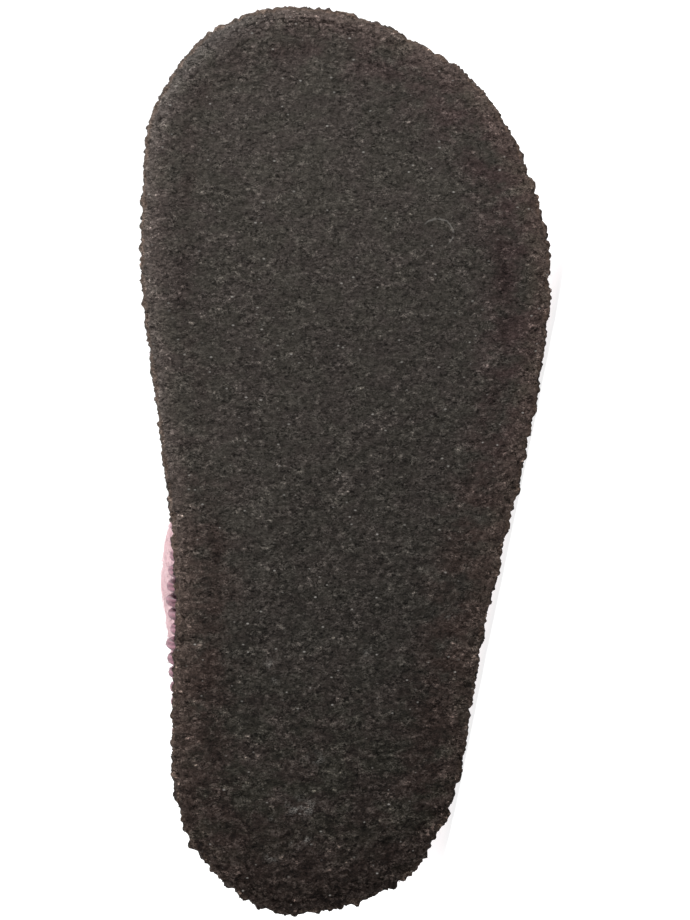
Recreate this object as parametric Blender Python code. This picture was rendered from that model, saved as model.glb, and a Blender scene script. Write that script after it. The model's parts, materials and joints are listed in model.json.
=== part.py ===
"""A child's left slipper of wool felt on a rubber crumb sole, lying on its outer side.

The shoe is built upright in its own frame, in millimetres: the heel end at y = 0, the toe at y = LENGTH,
the sole's flat on z = 0 and the inner (medial) side towards +x. Its empty then lays it down on the face of
its own convex hull that carries its weight, so sole edge and upper both touch the floor.
"""

import math
from typing import NamedTuple

import bmesh
import bpy
import numpy as np
from mathutils import Matrix, Vector

MM = 0.001

# Driving sizes, in millimetres.
LENGTH = 170.0
BALL_WIDTH = 77.0
SOLE_THICKNESS = 5.0
TREAD_ROUND = 2.2
SOLE_TOP_ROUND = 0.8
TOE_SPRING = 4.0
HEEL_SPRING = 1.0
ARCH_RISE = 0.8
HEEL_HEIGHT = 52.0
FELT_WALL = 3.0
FELT_EDGE_ROUND = 1.1
YARN_RADIUS = 0.95
INSOLE_THICKNESS = 2.5
INSOLE_ROUND = 0.7

# Clearances, in millimetres.
GAP = 0.3
YARN_ROOM = 0.8
SEAM_INSET = 1.7
WAIST_OVERHANG = 1.95
WAIST_BULGE = 6.5

# Where things lie, as shares of LENGTH from the heel end. ARCH_ACROSS is a share of BALL_WIDTH.
TOE_SPRING_FROM = 0.68
HEEL_SPRING_TO = 0.075
ARCH_AT = 0.42
ARCH_SPREAD = 0.12
ARCH_ACROSS = 0.3
WAIST_AT = 0.325
WAIST_SPREAD = 0.085
BULGE_AT = 0.420
BULGE_SPREAD = 0.052

# How finely each piece is cut.
SIDE_STEPS = 44
SOLE_COLUMNS = 8
INSOLE_STEPS = 30
INSOLE_COLUMNS = 6
UPPER_STEPS = 12
YARN_SIDES = 6
CURVE_STEPS = 1440

RUBBER_COLOUR = (0.045, 0.037, 0.033)
FELT_COLOUR = (0.76, 0.46, 0.52)
SOCK_COLOUR = (0.70, 0.50, 0.53)
YARN_COLOUR = (0.39, 0.22, 0.29)

# Weights in grams per cubic millimetre, which only settle how the shoe lies.
RUBBER_WEIGHT = 0.0012
FELT_WEIGHT = 0.0003


class OutlineRow(NamedTuple):
    """One cross line of the sole: its place as a share of LENGTH, its reaches as shares of BALL_WIDTH."""

    along: float
    medial: float
    lateral: float


class UpperRow(NamedTuple):
    """One rib of the upper, from the sole up to the topline.

    around runs from the heel (0) by the medial side to the toe (0.5) and back by the lateral side.
    along and height place the topline, as shares of LENGTH and HEEL_HEIGHT, and across of BALL_WIDTH.
    flare and lift lead the rib off the sole, as shares of BALL_WIDTH and HEEL_HEIGHT.
    ahead, aside and drop lead it down from the topline, as shares of LENGTH, BALL_WIDTH and HEEL_HEIGHT.
    """

    around: float
    along: float
    across: float
    height: float
    flare: float
    lift: float
    ahead: float
    aside: float
    drop: float


SOLE_OUTLINE = (
    OutlineRow(0.0070, 0.090, 0.100),
    OutlineRow(0.0400, 0.188, 0.262),
    OutlineRow(0.0730, 0.249, 0.322),
    OutlineRow(0.1390, 0.300, 0.387),
    OutlineRow(0.2050, 0.308, 0.413),
    OutlineRow(0.3040, 0.299, 0.450),
    OutlineRow(0.4030, 0.303, 0.498),
    OutlineRow(0.5020, 0.328, 0.554),
    OutlineRow(0.6010, 0.356, 0.590),
    OutlineRow(0.7000, 0.381, 0.613),
    OutlineRow(0.7990, 0.379, 0.574),
    OutlineRow(0.8650, 0.364, 0.512),
    OutlineRow(0.9310, 0.299, 0.395),
    OutlineRow(0.9640, 0.236, 0.278),
    OutlineRow(0.9880, 0.150, 0.158),
)

UPPER_RIBS = (
    UpperRow(0.000, 0.026, -0.020, 1.000, 0.035, 0.300, -0.020, 0.000, 0.340),
    UpperRow(0.085, 0.080, 0.195, 0.955, 0.030, 0.280, -0.015, 0.060, 0.330),
    UpperRow(0.190, 0.240, 0.245, 0.815, 0.022, 0.230, 0.000, 0.090, 0.300),
    UpperRow(0.290, 0.400, 0.215, 0.810, 0.012, 0.250, 0.045, 0.135, 0.270),
    UpperRow(0.380, 0.520, 0.110, 0.890, 0.035, 0.270, 0.150, 0.200, 0.220),
    UpperRow(0.500, 0.575, -0.080, 0.945, 0.030, 0.350, 0.250, 0.000, 0.190),
    UpperRow(0.620, 0.515, -0.270, 0.885, 0.056, 0.280, 0.150, -0.235, 0.210),
    UpperRow(0.710, 0.395, -0.355, 0.800, 0.052, 0.250, 0.060, -0.172, 0.250),
    UpperRow(0.810, 0.240, -0.350, 0.805, 0.026, 0.230, 0.010, -0.078, 0.290),
    UpperRow(0.915, 0.080, -0.255, 0.950, 0.022, 0.280, -0.015, -0.045, 0.330),
)


def spline(knots, values, at):
    """Values of the closed smooth curve of period 1 through the rows, whose knots run up within 0 to 1."""
    count = len(knots)
    steps = np.roll(knots, -1) - knots
    steps[-1] += 1.0
    rises = (np.roll(values, -1, axis=0) - values) / steps[:, None]
    before = np.roll(steps, 1)
    rows = np.arange(count)
    system = np.zeros((count, count))
    system[rows, rows] = 2.0 * (before + steps)
    system[rows, rows - 1] += before
    system[rows, (rows + 1) % count] += steps
    bends = np.linalg.solve(system, 6.0 * (rises - np.roll(rises, 1, axis=0)))
    ahead = np.roll(bends, -1, axis=0)
    place = (np.asarray(at) - knots[0]) % 1.0 + knots[0]
    span = np.searchsorted(knots, place, side="right") - 1
    run = (place - knots[span])[:, None]
    width = steps[span][:, None]
    slope = rises[span] - width * (2.0 * bends[span] + ahead[span]) / 6.0
    bend = bends[span] / 2.0
    twist = (ahead[span] - bends[span]) / (6.0 * width)
    return values[span] + run * (slope + run * (bend + run * twist))


def along_path(points, count):
    """The path cut into equal lengths by count points, its ends kept."""
    travel = np.concatenate([[0.0], np.cumsum(np.linalg.norm(np.diff(points, axis=0), axis=1))])
    wanted = np.linspace(0.0, travel[-1], count)
    return np.column_stack([np.interp(wanted, travel, points[:, axis]) for axis in range(points.shape[1])])


def sole_curve():
    """The sole's outline as a dense closed curve, from the heel end by the medial side and back."""
    medial = [(row.medial * BALL_WIDTH, row.along * LENGTH) for row in SOLE_OUTLINE]
    lateral = [(-row.lateral * BALL_WIDTH, row.along * LENGTH) for row in reversed(SOLE_OUTLINE)]
    corners = np.array([(0.0, 0.0), *medial, (0.0, LENGTH), *lateral])
    sides = np.linalg.norm(np.roll(corners, -1, axis=0) - corners, axis=1)
    knots = np.concatenate([[0.0], np.cumsum(sides)[:-1]]) / sides.sum()
    return spline(knots, corners, np.linspace(0.0, 1.0, CURVE_STEPS, endpoint=False))


class Ring(NamedTuple):
    """The outline as 2 * steps places: the heel end, the medial side, the toe end, the lateral side."""

    places: np.ndarray
    outward: np.ndarray
    steps: int

    def inset(self, distance):
        """The outline moved inwards by a distance, or by one for each place."""
        return self.places - self.outward * np.reshape(distance, (-1, 1))


def ring_of(steps):
    curve = sole_curve()
    heel = int(np.argmin(curve[:, 1]))
    curve = np.roll(curve, -heel, axis=0)
    toe = int(np.argmax(curve[:, 1]))
    medial = along_path(curve[: toe + 1], steps + 1)
    lateral = along_path(np.vstack([curve[toe:], curve[:1]]), steps + 1)
    places = np.vstack([medial[:-1], lateral[:-1]])
    run = np.roll(places, -1, axis=0) - np.roll(places, 1, axis=0)
    outward = np.column_stack([run[:, 1], -run[:, 0]])
    outward /= np.linalg.norm(outward, axis=1)[:, None]
    return Ring(places, outward, steps)


def bottom_height(places):
    """How far the sole's bottom stands off its flat: toe spring, heel spring and the arch."""
    across = places[:, 0] / BALL_WIDTH
    along = places[:, 1] / LENGTH
    toe = np.clip((along - TOE_SPRING_FROM) / (1.0 - TOE_SPRING_FROM), 0.0, None)
    heel = np.clip(1.0 - along / HEEL_SPRING_TO, 0.0, None)
    inwards = np.clip(across / ARCH_ACROSS, 0.0, 1.0)
    arch = np.exp(-(((along - ARCH_AT) / ARCH_SPREAD) ** 2)) * inwards**2
    return TOE_SPRING * toe**2 + HEEL_SPRING * heel**2 + ARCH_RISE * arch


def raised(places, height):
    """Places on the sole's plan, set at a height over its bottom."""
    return np.column_stack([places, bottom_height(places) + height])


def medial_swell(ring, at, spread):
    """A soft swelling of the medial side: 1 at its middle, 0 on the lateral side."""
    swell = np.exp(-(((ring.places[:, 1] / LENGTH - at) / spread) ** 2))
    swell[ring.steps :] = 0.0
    return swell


def seam_inset(ring):
    """How far inside the sole's edge the seam yarn runs; at the medial waist it stands out past it."""
    return SEAM_INSET - WAIST_OVERHANG * medial_swell(ring, WAIST_AT, WAIST_SPREAD)


def felt_inset(ring):
    """How far inside the sole's edge the felt's outer face meets it."""
    return seam_inset(ring) + YARN_RADIUS + YARN_ROOM


def capped(points, faces, rim, ring, columns, height):
    """Closes a ring of points with rows of quads from the medial to the lateral side."""
    rows = []
    for step in range(1, ring.steps):
        medial, lateral = rim[step], rim[-step]
        shares = np.arange(1, columns)[:, None] / columns
        inner = points[medial, :2] + (points[lateral, :2] - points[medial, :2]) * shares
        first = len(points)
        points = np.vstack([points, raised(inner, height)])
        rows.append([medial, *range(first, first + columns - 1), lateral])
    for near, far in zip(rows, rows[1:]):
        faces += [(near[i], near[i + 1], far[i + 1], far[i]) for i in range(columns)]
    faces += [(rim[0], rows[0][i + 1], rows[0][i]) for i in range(columns)]
    faces += [(rim[ring.steps], rows[-1][i], rows[-1][i + 1]) for i in range(columns)]
    return points


def slab(ring, profile, columns):
    """A flat piece with rounded edges. profile lists its edge from below upwards as (inset, height)."""
    around = len(ring.places)
    points = np.vstack([raised(ring.inset(inset), height) for inset, height in profile])
    faces = []
    for level in range(len(profile) - 1):
        for i in range(around):
            j = (i + 1) % around
            below, above = level * around, (level + 1) * around
            faces.append((below + i, below + j, above + j, above + i))
    last = (len(profile) - 1) * around
    points = capped(points, faces, list(range(around)), ring, columns, profile[0][1])
    points = capped(points, faces, list(range(last, last + around)), ring, columns, profile[-1][1])
    return points, faces


def rounded_edge(base, thickness, below, above, inset, steps):
    """The edge of a slab from below upwards: a quarter round, a straight side and a quarter round."""
    turns = np.linspace(0.0, math.pi / 2.0, steps + 1)
    lower = [(inset + below * (1.0 - math.sin(t)), base + below * (1.0 - math.cos(t))) for t in turns]
    top = base + thickness
    upper = [(inset + above * (1.0 - math.cos(t)), top - above * (1.0 - math.sin(t))) for t in turns]
    return lower + upper


def torus_faces(rows, around):
    """Quads over a grid of rows that closes both ways."""
    faces = []
    for row in range(rows):
        for i in range(around):
            j = (i + 1) % around
            here, after = row * around, ((row + 1) % rows) * around
            faces.append((here + i, here + j, after + j, after + i))
    return faces


def upper_ribs(ring):
    """The four guide points of each rib: on the sole, off the sole, above and on the topline."""
    table = np.array(UPPER_RIBS)
    around = np.arange(2 * ring.steps) / (2.0 * ring.steps)
    rows = spline(table[:, 0], table[:, 1:], around)
    along, across, height, flare, lift, ahead, aside, drop = rows.T
    base = raised(ring.inset(felt_inset(ring)), SOLE_THICKNESS + GAP)
    lead = base.copy()
    swell = flare * BALL_WIDTH + WAIST_BULGE * medial_swell(ring, BULGE_AT, BULGE_SPREAD)
    lead[:, :2] += ring.outward * swell[:, None]
    lead[:, 2] += lift * HEEL_HEIGHT
    edge = np.column_stack([across * BALL_WIDTH, along * LENGTH, height * HEEL_HEIGHT + SOLE_THICKNESS])
    reach = np.column_stack([aside * BALL_WIDTH, ahead * LENGTH, -drop * HEEL_HEIGHT])
    return base, lead, edge + reach, edge


def upper_face(ring):
    """The upper's outer face as rows of points, from the sole to the topline."""
    base, lead, reach, edge = upper_ribs(ring)
    rows = []
    for share in np.linspace(0.0, 1.0, UPPER_STEPS + 1):
        rest = 1.0 - share
        rows.append(
            base * rest**3 + lead * 3.0 * rest**2 * share + reach * 3.0 * rest * share**2 + edge * share**3
        )
    return np.array(rows)


def outward_of(grid):
    """Unit normals of a face whose rows go up and whose columns go round."""
    round_way = np.roll(grid, -1, axis=1) - np.roll(grid, 1, axis=1)
    up_way = np.gradient(grid, axis=0)
    normals = np.cross(round_way, up_way)
    return normals / np.linalg.norm(normals, axis=2)[:, :, None]


def upper_solid(ring):
    """The felt shell: its outer face, a rounded topline and its inner face, one wall inside."""
    outer = upper_face(ring)
    normals = outward_of(outer)
    normals[0, :, 2] = 0.0
    normals[0] /= np.linalg.norm(normals[0], axis=1)[:, None]
    inner = outer - normals * FELT_WALL
    inner[0, :, 2] = outer[0, :, 2]
    up_way = outer[-1] - outer[-2]
    up_way /= np.linalg.norm(up_way, axis=1)[:, None]
    lip = (outer[-1] + inner[-1]) / 2.0 + up_way * FELT_EDGE_ROUND
    grid = np.concatenate([outer, lip[None], inner[::-1]])
    return grid.reshape(-1, 3), torus_faces(len(grid), grid.shape[1])


def yarn_solid(ring):
    """The seam yarn as a plain round ring in the corner between the sole's top and the felt."""
    middle = raised(ring.inset(seam_inset(ring)), SOLE_THICKNESS + GAP + YARN_RADIUS)
    rows = []
    for side in range(YARN_SIDES):
        turn = 2.0 * math.pi * side / YARN_SIDES
        row = middle.copy()
        row[:, :2] += ring.outward * (YARN_RADIUS * math.cos(turn))
        row[:, 2] += YARN_RADIUS * math.sin(turn)
        rows.append(row)
    grid = np.array(rows)
    return grid.reshape(-1, 3), torus_faces(len(grid), grid.shape[1])


def material_of(name, colour, roughness):
    material = bpy.data.materials.new(name)
    material.use_nodes = True
    shader = material.node_tree.nodes["Principled BSDF"]
    shader.inputs["Base Color"].default_value = (*colour, 1.0)
    shader.inputs["Roughness"].default_value = roughness
    material.diffuse_color = (*colour, 1.0)
    return material


def add_object(name, solid, material, collection):
    """One node: a closed mesh, its faces outward and shaded smooth."""
    points, faces = solid
    mesh = bpy.data.meshes.new(name)
    mesh.from_pydata((points * MM).tolist(), [], faces)
    shaper = bmesh.new()
    shaper.from_mesh(mesh)
    bmesh.ops.recalc_face_normals(shaper, faces=shaper.faces)
    bmesh.ops.triangulate(shaper, faces=shaper.faces)
    shaper.to_mesh(mesh)
    shaper.free()
    mesh.shade_smooth()
    mesh.materials.append(material)
    node = bpy.data.objects.new(name, mesh)
    collection.objects.link(node)
    return node


def weight_of(mesh, weight):
    """The weight of a closed mesh in grams and its centre, in millimetres."""
    mesh.calc_loop_triangles()
    points = np.array([vertex.co[:] for vertex in mesh.vertices]) / MM
    corners = points[np.array([triangle.vertices[:] for triangle in mesh.loop_triangles])]
    volumes = np.einsum("ij,ij->i", corners[:, 0], np.cross(corners[:, 1], corners[:, 2])) / 6.0
    middles = corners.sum(axis=1) / 4.0
    return volumes.sum() * weight, (middles * volumes[:, None]).sum(axis=0) / volumes.sum()


def centre_of_weight(nodes_and_weights):
    parts = [weight_of(node.data, weight) for node, weight in nodes_and_weights]
    total = sum(weight for weight, _ in parts)
    return sum(weight * centre for weight, centre in parts) / total


def resting_face(points, centre, towards):
    """The outward normal of the convex hull's face that the centre stands over, on the side towards."""
    shaper = bmesh.new()
    for point in points:
        shaper.verts.new(point)
    hull = bmesh.ops.convex_hull(shaper, input=shaper.verts)
    found = []
    for face in hull["geom"]:
        if not isinstance(face, bmesh.types.BMFace):
            continue
        normal = face.normal.copy()
        a, b, c = [vertex.co for vertex in face.verts]
        if normal.dot(a - centre) < 0.0:
            normal.negate()
        foot = centre + normal * normal.dot(a - centre)
        turns = [normal.dot((q - p).cross(foot - p)) for p, q in ((a, b), (b, c), (c, a))]
        if min(turns) >= 0.0 or max(turns) <= 0.0:
            found.append((normal.dot(towards), normal))
    shaper.free()
    return max(found, key=lambda pair: pair[0])[1]


def lying_down(nodes, centre):
    """The matrix that lays the shoe on its lateral side, the middle of its footprint at the origin."""
    points = np.vstack([[vertex.co[:] for vertex in node.data.vertices] for node in nodes])
    down = resting_face([Vector(p) for p in points], Vector(centre * MM), Vector((-1.0, 0.0, 0.0)))
    up = -down
    sole_to_top = Vector((0.0, 0.0, 1.0))
    back = (sole_to_top - up * sole_to_top.dot(up)).normalized()
    side = back.cross(up)
    turn = Matrix((side, back, up))
    laid = points @ np.array(turn).T
    low, high = laid.min(axis=0), laid.max(axis=0)
    move = Vector((-(low[0] + high[0]) / 2.0, -(low[1] + high[1]) / 2.0, -low[2]))
    return Matrix.Translation(move) @ turn.to_4x4()


def build():
    for old in list(bpy.data.objects):
        bpy.data.objects.remove(old, do_unlink=True)
    scene = bpy.context.scene
    scene.unit_settings.system = "METRIC"
    scene.unit_settings.scale_length = 1.0
    collection = bpy.data.collections.new("slipper")
    scene.collection.children.link(collection)

    rubber = material_of("rubber_crumb", RUBBER_COLOUR, 0.9)
    felt = material_of("wool_felt", FELT_COLOUR, 0.95)
    sock_felt = material_of("sock_felt", SOCK_COLOUR, 0.95)
    wool_yarn = material_of("wool_yarn", YARN_COLOUR, 0.9)

    ring = ring_of(SIDE_STEPS)
    sole_edge = rounded_edge(0.0, SOLE_THICKNESS, TREAD_ROUND, SOLE_TOP_ROUND, 0.0, 3)
    outsole = add_object("outsole", slab(ring, sole_edge, SOLE_COLUMNS), rubber, collection)
    upper = add_object("upper", upper_solid(ring), felt, collection)
    seam_yarn = add_object("seam_yarn", yarn_solid(ring), wool_yarn, collection)

    sock_ring = ring_of(INSOLE_STEPS)
    sock_inset = felt_inset(sock_ring) + FELT_WALL + GAP
    sock_places = Ring(sock_ring.inset(sock_inset), sock_ring.outward, sock_ring.steps)
    sock_edge = rounded_edge(SOLE_THICKNESS + GAP, INSOLE_THICKNESS, INSOLE_ROUND, INSOLE_ROUND, 0.0, 1)
    insole = add_object("insole", slab(sock_places, sock_edge, INSOLE_COLUMNS), sock_felt, collection)

    nodes = [outsole, upper, seam_yarn, insole]
    weights = [RUBBER_WEIGHT, FELT_WEIGHT, FELT_WEIGHT, FELT_WEIGHT]
    rest = bpy.data.objects.new("slipper_rest", None)
    collection.objects.link(rest)
    rest.matrix_world = lying_down(nodes, centre_of_weight(zip(nodes, weights)))
    for node in nodes:
        node.parent = rest


build()
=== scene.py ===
"""Looks of a child's left slipper of wool felt on a rubber crumb sole, seen from straight below.

Each piece is worked out in the shoe's own frame, in millimetres: x to the inner (medial) side, y from the
heel end to the toe, z up from the flat of the sole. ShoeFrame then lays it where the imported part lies.
"""

import json
import logging
import math
from dataclasses import dataclass
from enum import Enum
from typing import Union

import bpy
import numpy as np
from mathutils import Matrix, Vector


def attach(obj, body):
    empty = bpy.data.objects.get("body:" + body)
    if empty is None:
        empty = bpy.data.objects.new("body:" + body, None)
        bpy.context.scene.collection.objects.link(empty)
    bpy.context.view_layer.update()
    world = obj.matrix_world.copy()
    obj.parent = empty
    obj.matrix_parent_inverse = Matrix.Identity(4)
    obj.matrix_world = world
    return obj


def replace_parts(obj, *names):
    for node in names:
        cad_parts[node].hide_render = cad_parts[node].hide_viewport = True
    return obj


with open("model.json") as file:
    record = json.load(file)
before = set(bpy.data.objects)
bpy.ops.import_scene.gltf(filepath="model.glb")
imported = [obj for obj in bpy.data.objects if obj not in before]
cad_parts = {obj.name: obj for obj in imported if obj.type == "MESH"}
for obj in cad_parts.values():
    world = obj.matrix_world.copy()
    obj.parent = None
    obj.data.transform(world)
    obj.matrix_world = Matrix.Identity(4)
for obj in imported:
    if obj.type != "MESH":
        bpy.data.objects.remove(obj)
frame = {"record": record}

MM = 0.001
FULL_TURN = 2.0 * math.pi
# Whip stitches round the sole, 2.8 mm apart.
STITCHES = 146

log = logging.getLogger("slipper")


class Slot(Enum):
    """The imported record's material slots."""

    RUBBER = "rubber_crumb"
    FELT = "wool_felt"
    SOCK = "sock_felt"
    YARN = "wool_yarn"


# Patterns in space


@dataclass(frozen=True)
class Scatter:
    """Repeatable random patterns in space: a place always gets the same value.

    Attributes:
        seed: Which of the many patterns this one is.
    """

    seed: int

    def chance(self, cells: np.ndarray, channel: int) -> np.ndarray:
        """A number from 0 to 1 for each cell: its three indices times primes, mixed by shifts and products.

        Args:
            cells: Whole-number cells, the last axis of length 3.
            channel: Which of a cell's several numbers is wanted.

        Returns:
            One number for each cell.
        """
        mixed = (cells[..., 0] * 73856093) ^ (cells[..., 1] * 19349663) ^ (cells[..., 2] * 83492791)
        mixed = (mixed ^ (self.seed * 668265263 + channel * 374761393)) & 0xFFFFFFFF
        for _ in range(2):
            mixed = ((mixed ^ (mixed >> 16)) * 0x45D9F3B) & 0xFFFFFFFF
        return ((mixed ^ (mixed >> 16)) & 0xFFFFFF) / float(0xFFFFFF)

    def swells(self, points: np.ndarray, size: float) -> np.ndarray:
        """Soft swells from -1 to 1: random numbers on a lattice, joined by smooth steps 3t^2 - 2t^3.

        Args:
            points: Places, in millimetres.
            size: Distance between lattice points.

        Returns:
            The height of the swells at each place.
        """
        scaled = points / size + 1000.0
        cell = np.floor(scaled).astype(np.int64)
        run = scaled - cell
        ease = run * run * (3.0 - 2.0 * run)
        total = np.zeros(len(points))
        for corner in np.ndindex(2, 2, 2):
            share = np.prod(np.where(np.array(corner) == 1, ease, 1.0 - ease), axis=1)
            total += share * self.chance(cell + np.array(corner), 0)
        return 2.0 * total - 1.0

    def layered(self, points: np.ndarray, size: float, layers: int) -> np.ndarray:
        """Swells summed over layers, each with half the size and half the height of the one before.

        Args:
            points: Places, in millimetres.
            size: Size of the broadest layer.
            layers: How many layers there are.

        Returns:
            The summed height at each place.
        """
        return sum(self.swells(points, size / 2.0**k) / 2.0**k for k in range(layers))

    def crumbs(self, points: np.ndarray, size: float) -> tuple[np.ndarray, np.ndarray, np.ndarray]:
        """Crumbs packed in space: each cell holds one middle at a random spot.

        Args:
            points: Places, in millimetres.
            size: Width of a cell, and so about that of a crumb.

        Returns:
            For each place the distance to the nearest middle, the extra distance to the next one, both in
            cells, and the nearest crumb's own random number.
        """
        scaled = points / size + 1000.0
        cell = np.floor(scaled).astype(np.int64)
        nearest = np.full(len(points), 9.0)
        second = np.full(len(points), 9.0)
        own = np.zeros(len(points))
        for step in np.ndindex(3, 3, 3):
            other = cell + np.array(step) - 1
            middle = other + np.stack([self.chance(other, channel) for channel in (1, 2, 3)], axis=1)
            reach = np.linalg.norm(scaled - middle, axis=1)
            closer = reach < nearest
            second = np.where(closer, nearest, np.minimum(second, reach))
            own = np.where(closer, self.chance(other, 4), own)
            nearest = np.where(closer, reach, nearest)
        return nearest, second - nearest, own


def hump(values: np.ndarray, middle: float, spread: float) -> np.ndarray:
    """The bell exp(-((value - middle) / spread)^2)."""
    return np.exp(-(((values - middle) / spread) ** 2))


def unit(vectors: np.ndarray) -> np.ndarray:
    """The same directions with length 1."""
    return vectors / np.linalg.norm(vectors, axis=-1, keepdims=True)


def spokes(first: np.ndarray, second: np.ndarray, sides: int) -> np.ndarray:
    """Directions round a cord: first cos a + second sin a, where a turns once over the sides.

    Args:
        first: The direction at the start, one for each ring.
        second: The direction a quarter turn on.
        sides: How many points each ring has.

    Returns:
        A row of directions for each ring.
    """
    turns = FULL_TURN * np.arange(sides) / sides
    return first[:, None] * np.cos(turns)[None, :, None] + second[:, None] * np.sin(turns)[None, :, None]


def ramp(values: np.ndarray, low: float, high: float) -> np.ndarray:
    """The smooth step 3t^2 - 2t^3 from 0 at low to 1 at high."""
    share = np.clip((values - low) / (high - low), 0.0, 1.0)
    return share * share * (3.0 - 2.0 * share)


# The shoe's own shape


@dataclass(frozen=True)
class ShoeFrame:
    """Where the upright shoe lies in the scene.

    Attributes:
        origin: The scene's place of the shoe's origin, in metres.
        turn: Rows are the scene's directions of the shoe's x, y and z.
    """

    origin: np.ndarray
    turn: np.ndarray

    # The tread's two mounts lie on this line across the shoe, the heel one this far along it, in millimetres.
    MOUNT_LINE = -6.0
    HEEL_MOUNT = 28.0

    @staticmethod
    def from_record(record: dict) -> "ShoeFrame":
        """Reads the two tread mounts, whose places on the shoe are known.

        Args:
            record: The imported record.

        Returns:
            The frame: y runs from the heel mount to the forefoot one and z against the mounts' axis.
        """
        mounts = {mount["name"]: mount for mount in record["mounts"]}
        heel = np.array(mounts["tread_heel"]["pos_m"])
        fore = np.array(mounts["tread_forefoot"]["pos_m"])
        ahead = unit(fore - heel)
        up = -np.array(mounts["tread_heel"]["axis"])
        up = unit(up - ahead * (up @ ahead))
        inner = np.cross(ahead, up)
        origin = heel - (ShoeFrame.MOUNT_LINE * inner + ShoeFrame.HEEL_MOUNT * ahead) * MM
        return ShoeFrame(origin, np.stack([inner, ahead, up]))

    def laid(self, points: np.ndarray) -> np.ndarray:
        """Shoe places in millimetres as scene places in metres."""
        return (points * MM) @ self.turn + self.origin


@dataclass(frozen=True)
class Outline:
    """The sole's outline as 2 * steps places: heel end, medial side, toe end, lateral side.

    Attributes:
        places: The outline's places, (x, y).
        outward: The outward direction at each place.
        steps: How many places each side has.
    """

    places: np.ndarray
    outward: np.ndarray
    steps: int

    def inset(self, distance: Union[float, np.ndarray]) -> np.ndarray:
        """The outline moved inwards by a distance, or by one for each place."""
        return self.places - self.outward * np.reshape(distance, (-1, 1))

    def shares(self) -> np.ndarray:
        """How far round each place is, from 0 at the heel end, 0.5 at the toe end."""
        return np.arange(2 * self.steps) / (2.0 * self.steps)

    def distance(self, plan: np.ndarray) -> np.ndarray:
        """How far each place inside is from the outline: the least distance to any of its places.

        Args:
            plan: Places (x, y) in the outline.

        Returns:
            One distance for each place.
        """
        parts = np.array_split(plan, max(1, len(plan) // 1500))
        return np.concatenate(
            [np.sqrt(((p[:, None] - self.places[None]) ** 2).sum(axis=2).min(axis=1)) for p in parts]
        )


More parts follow.
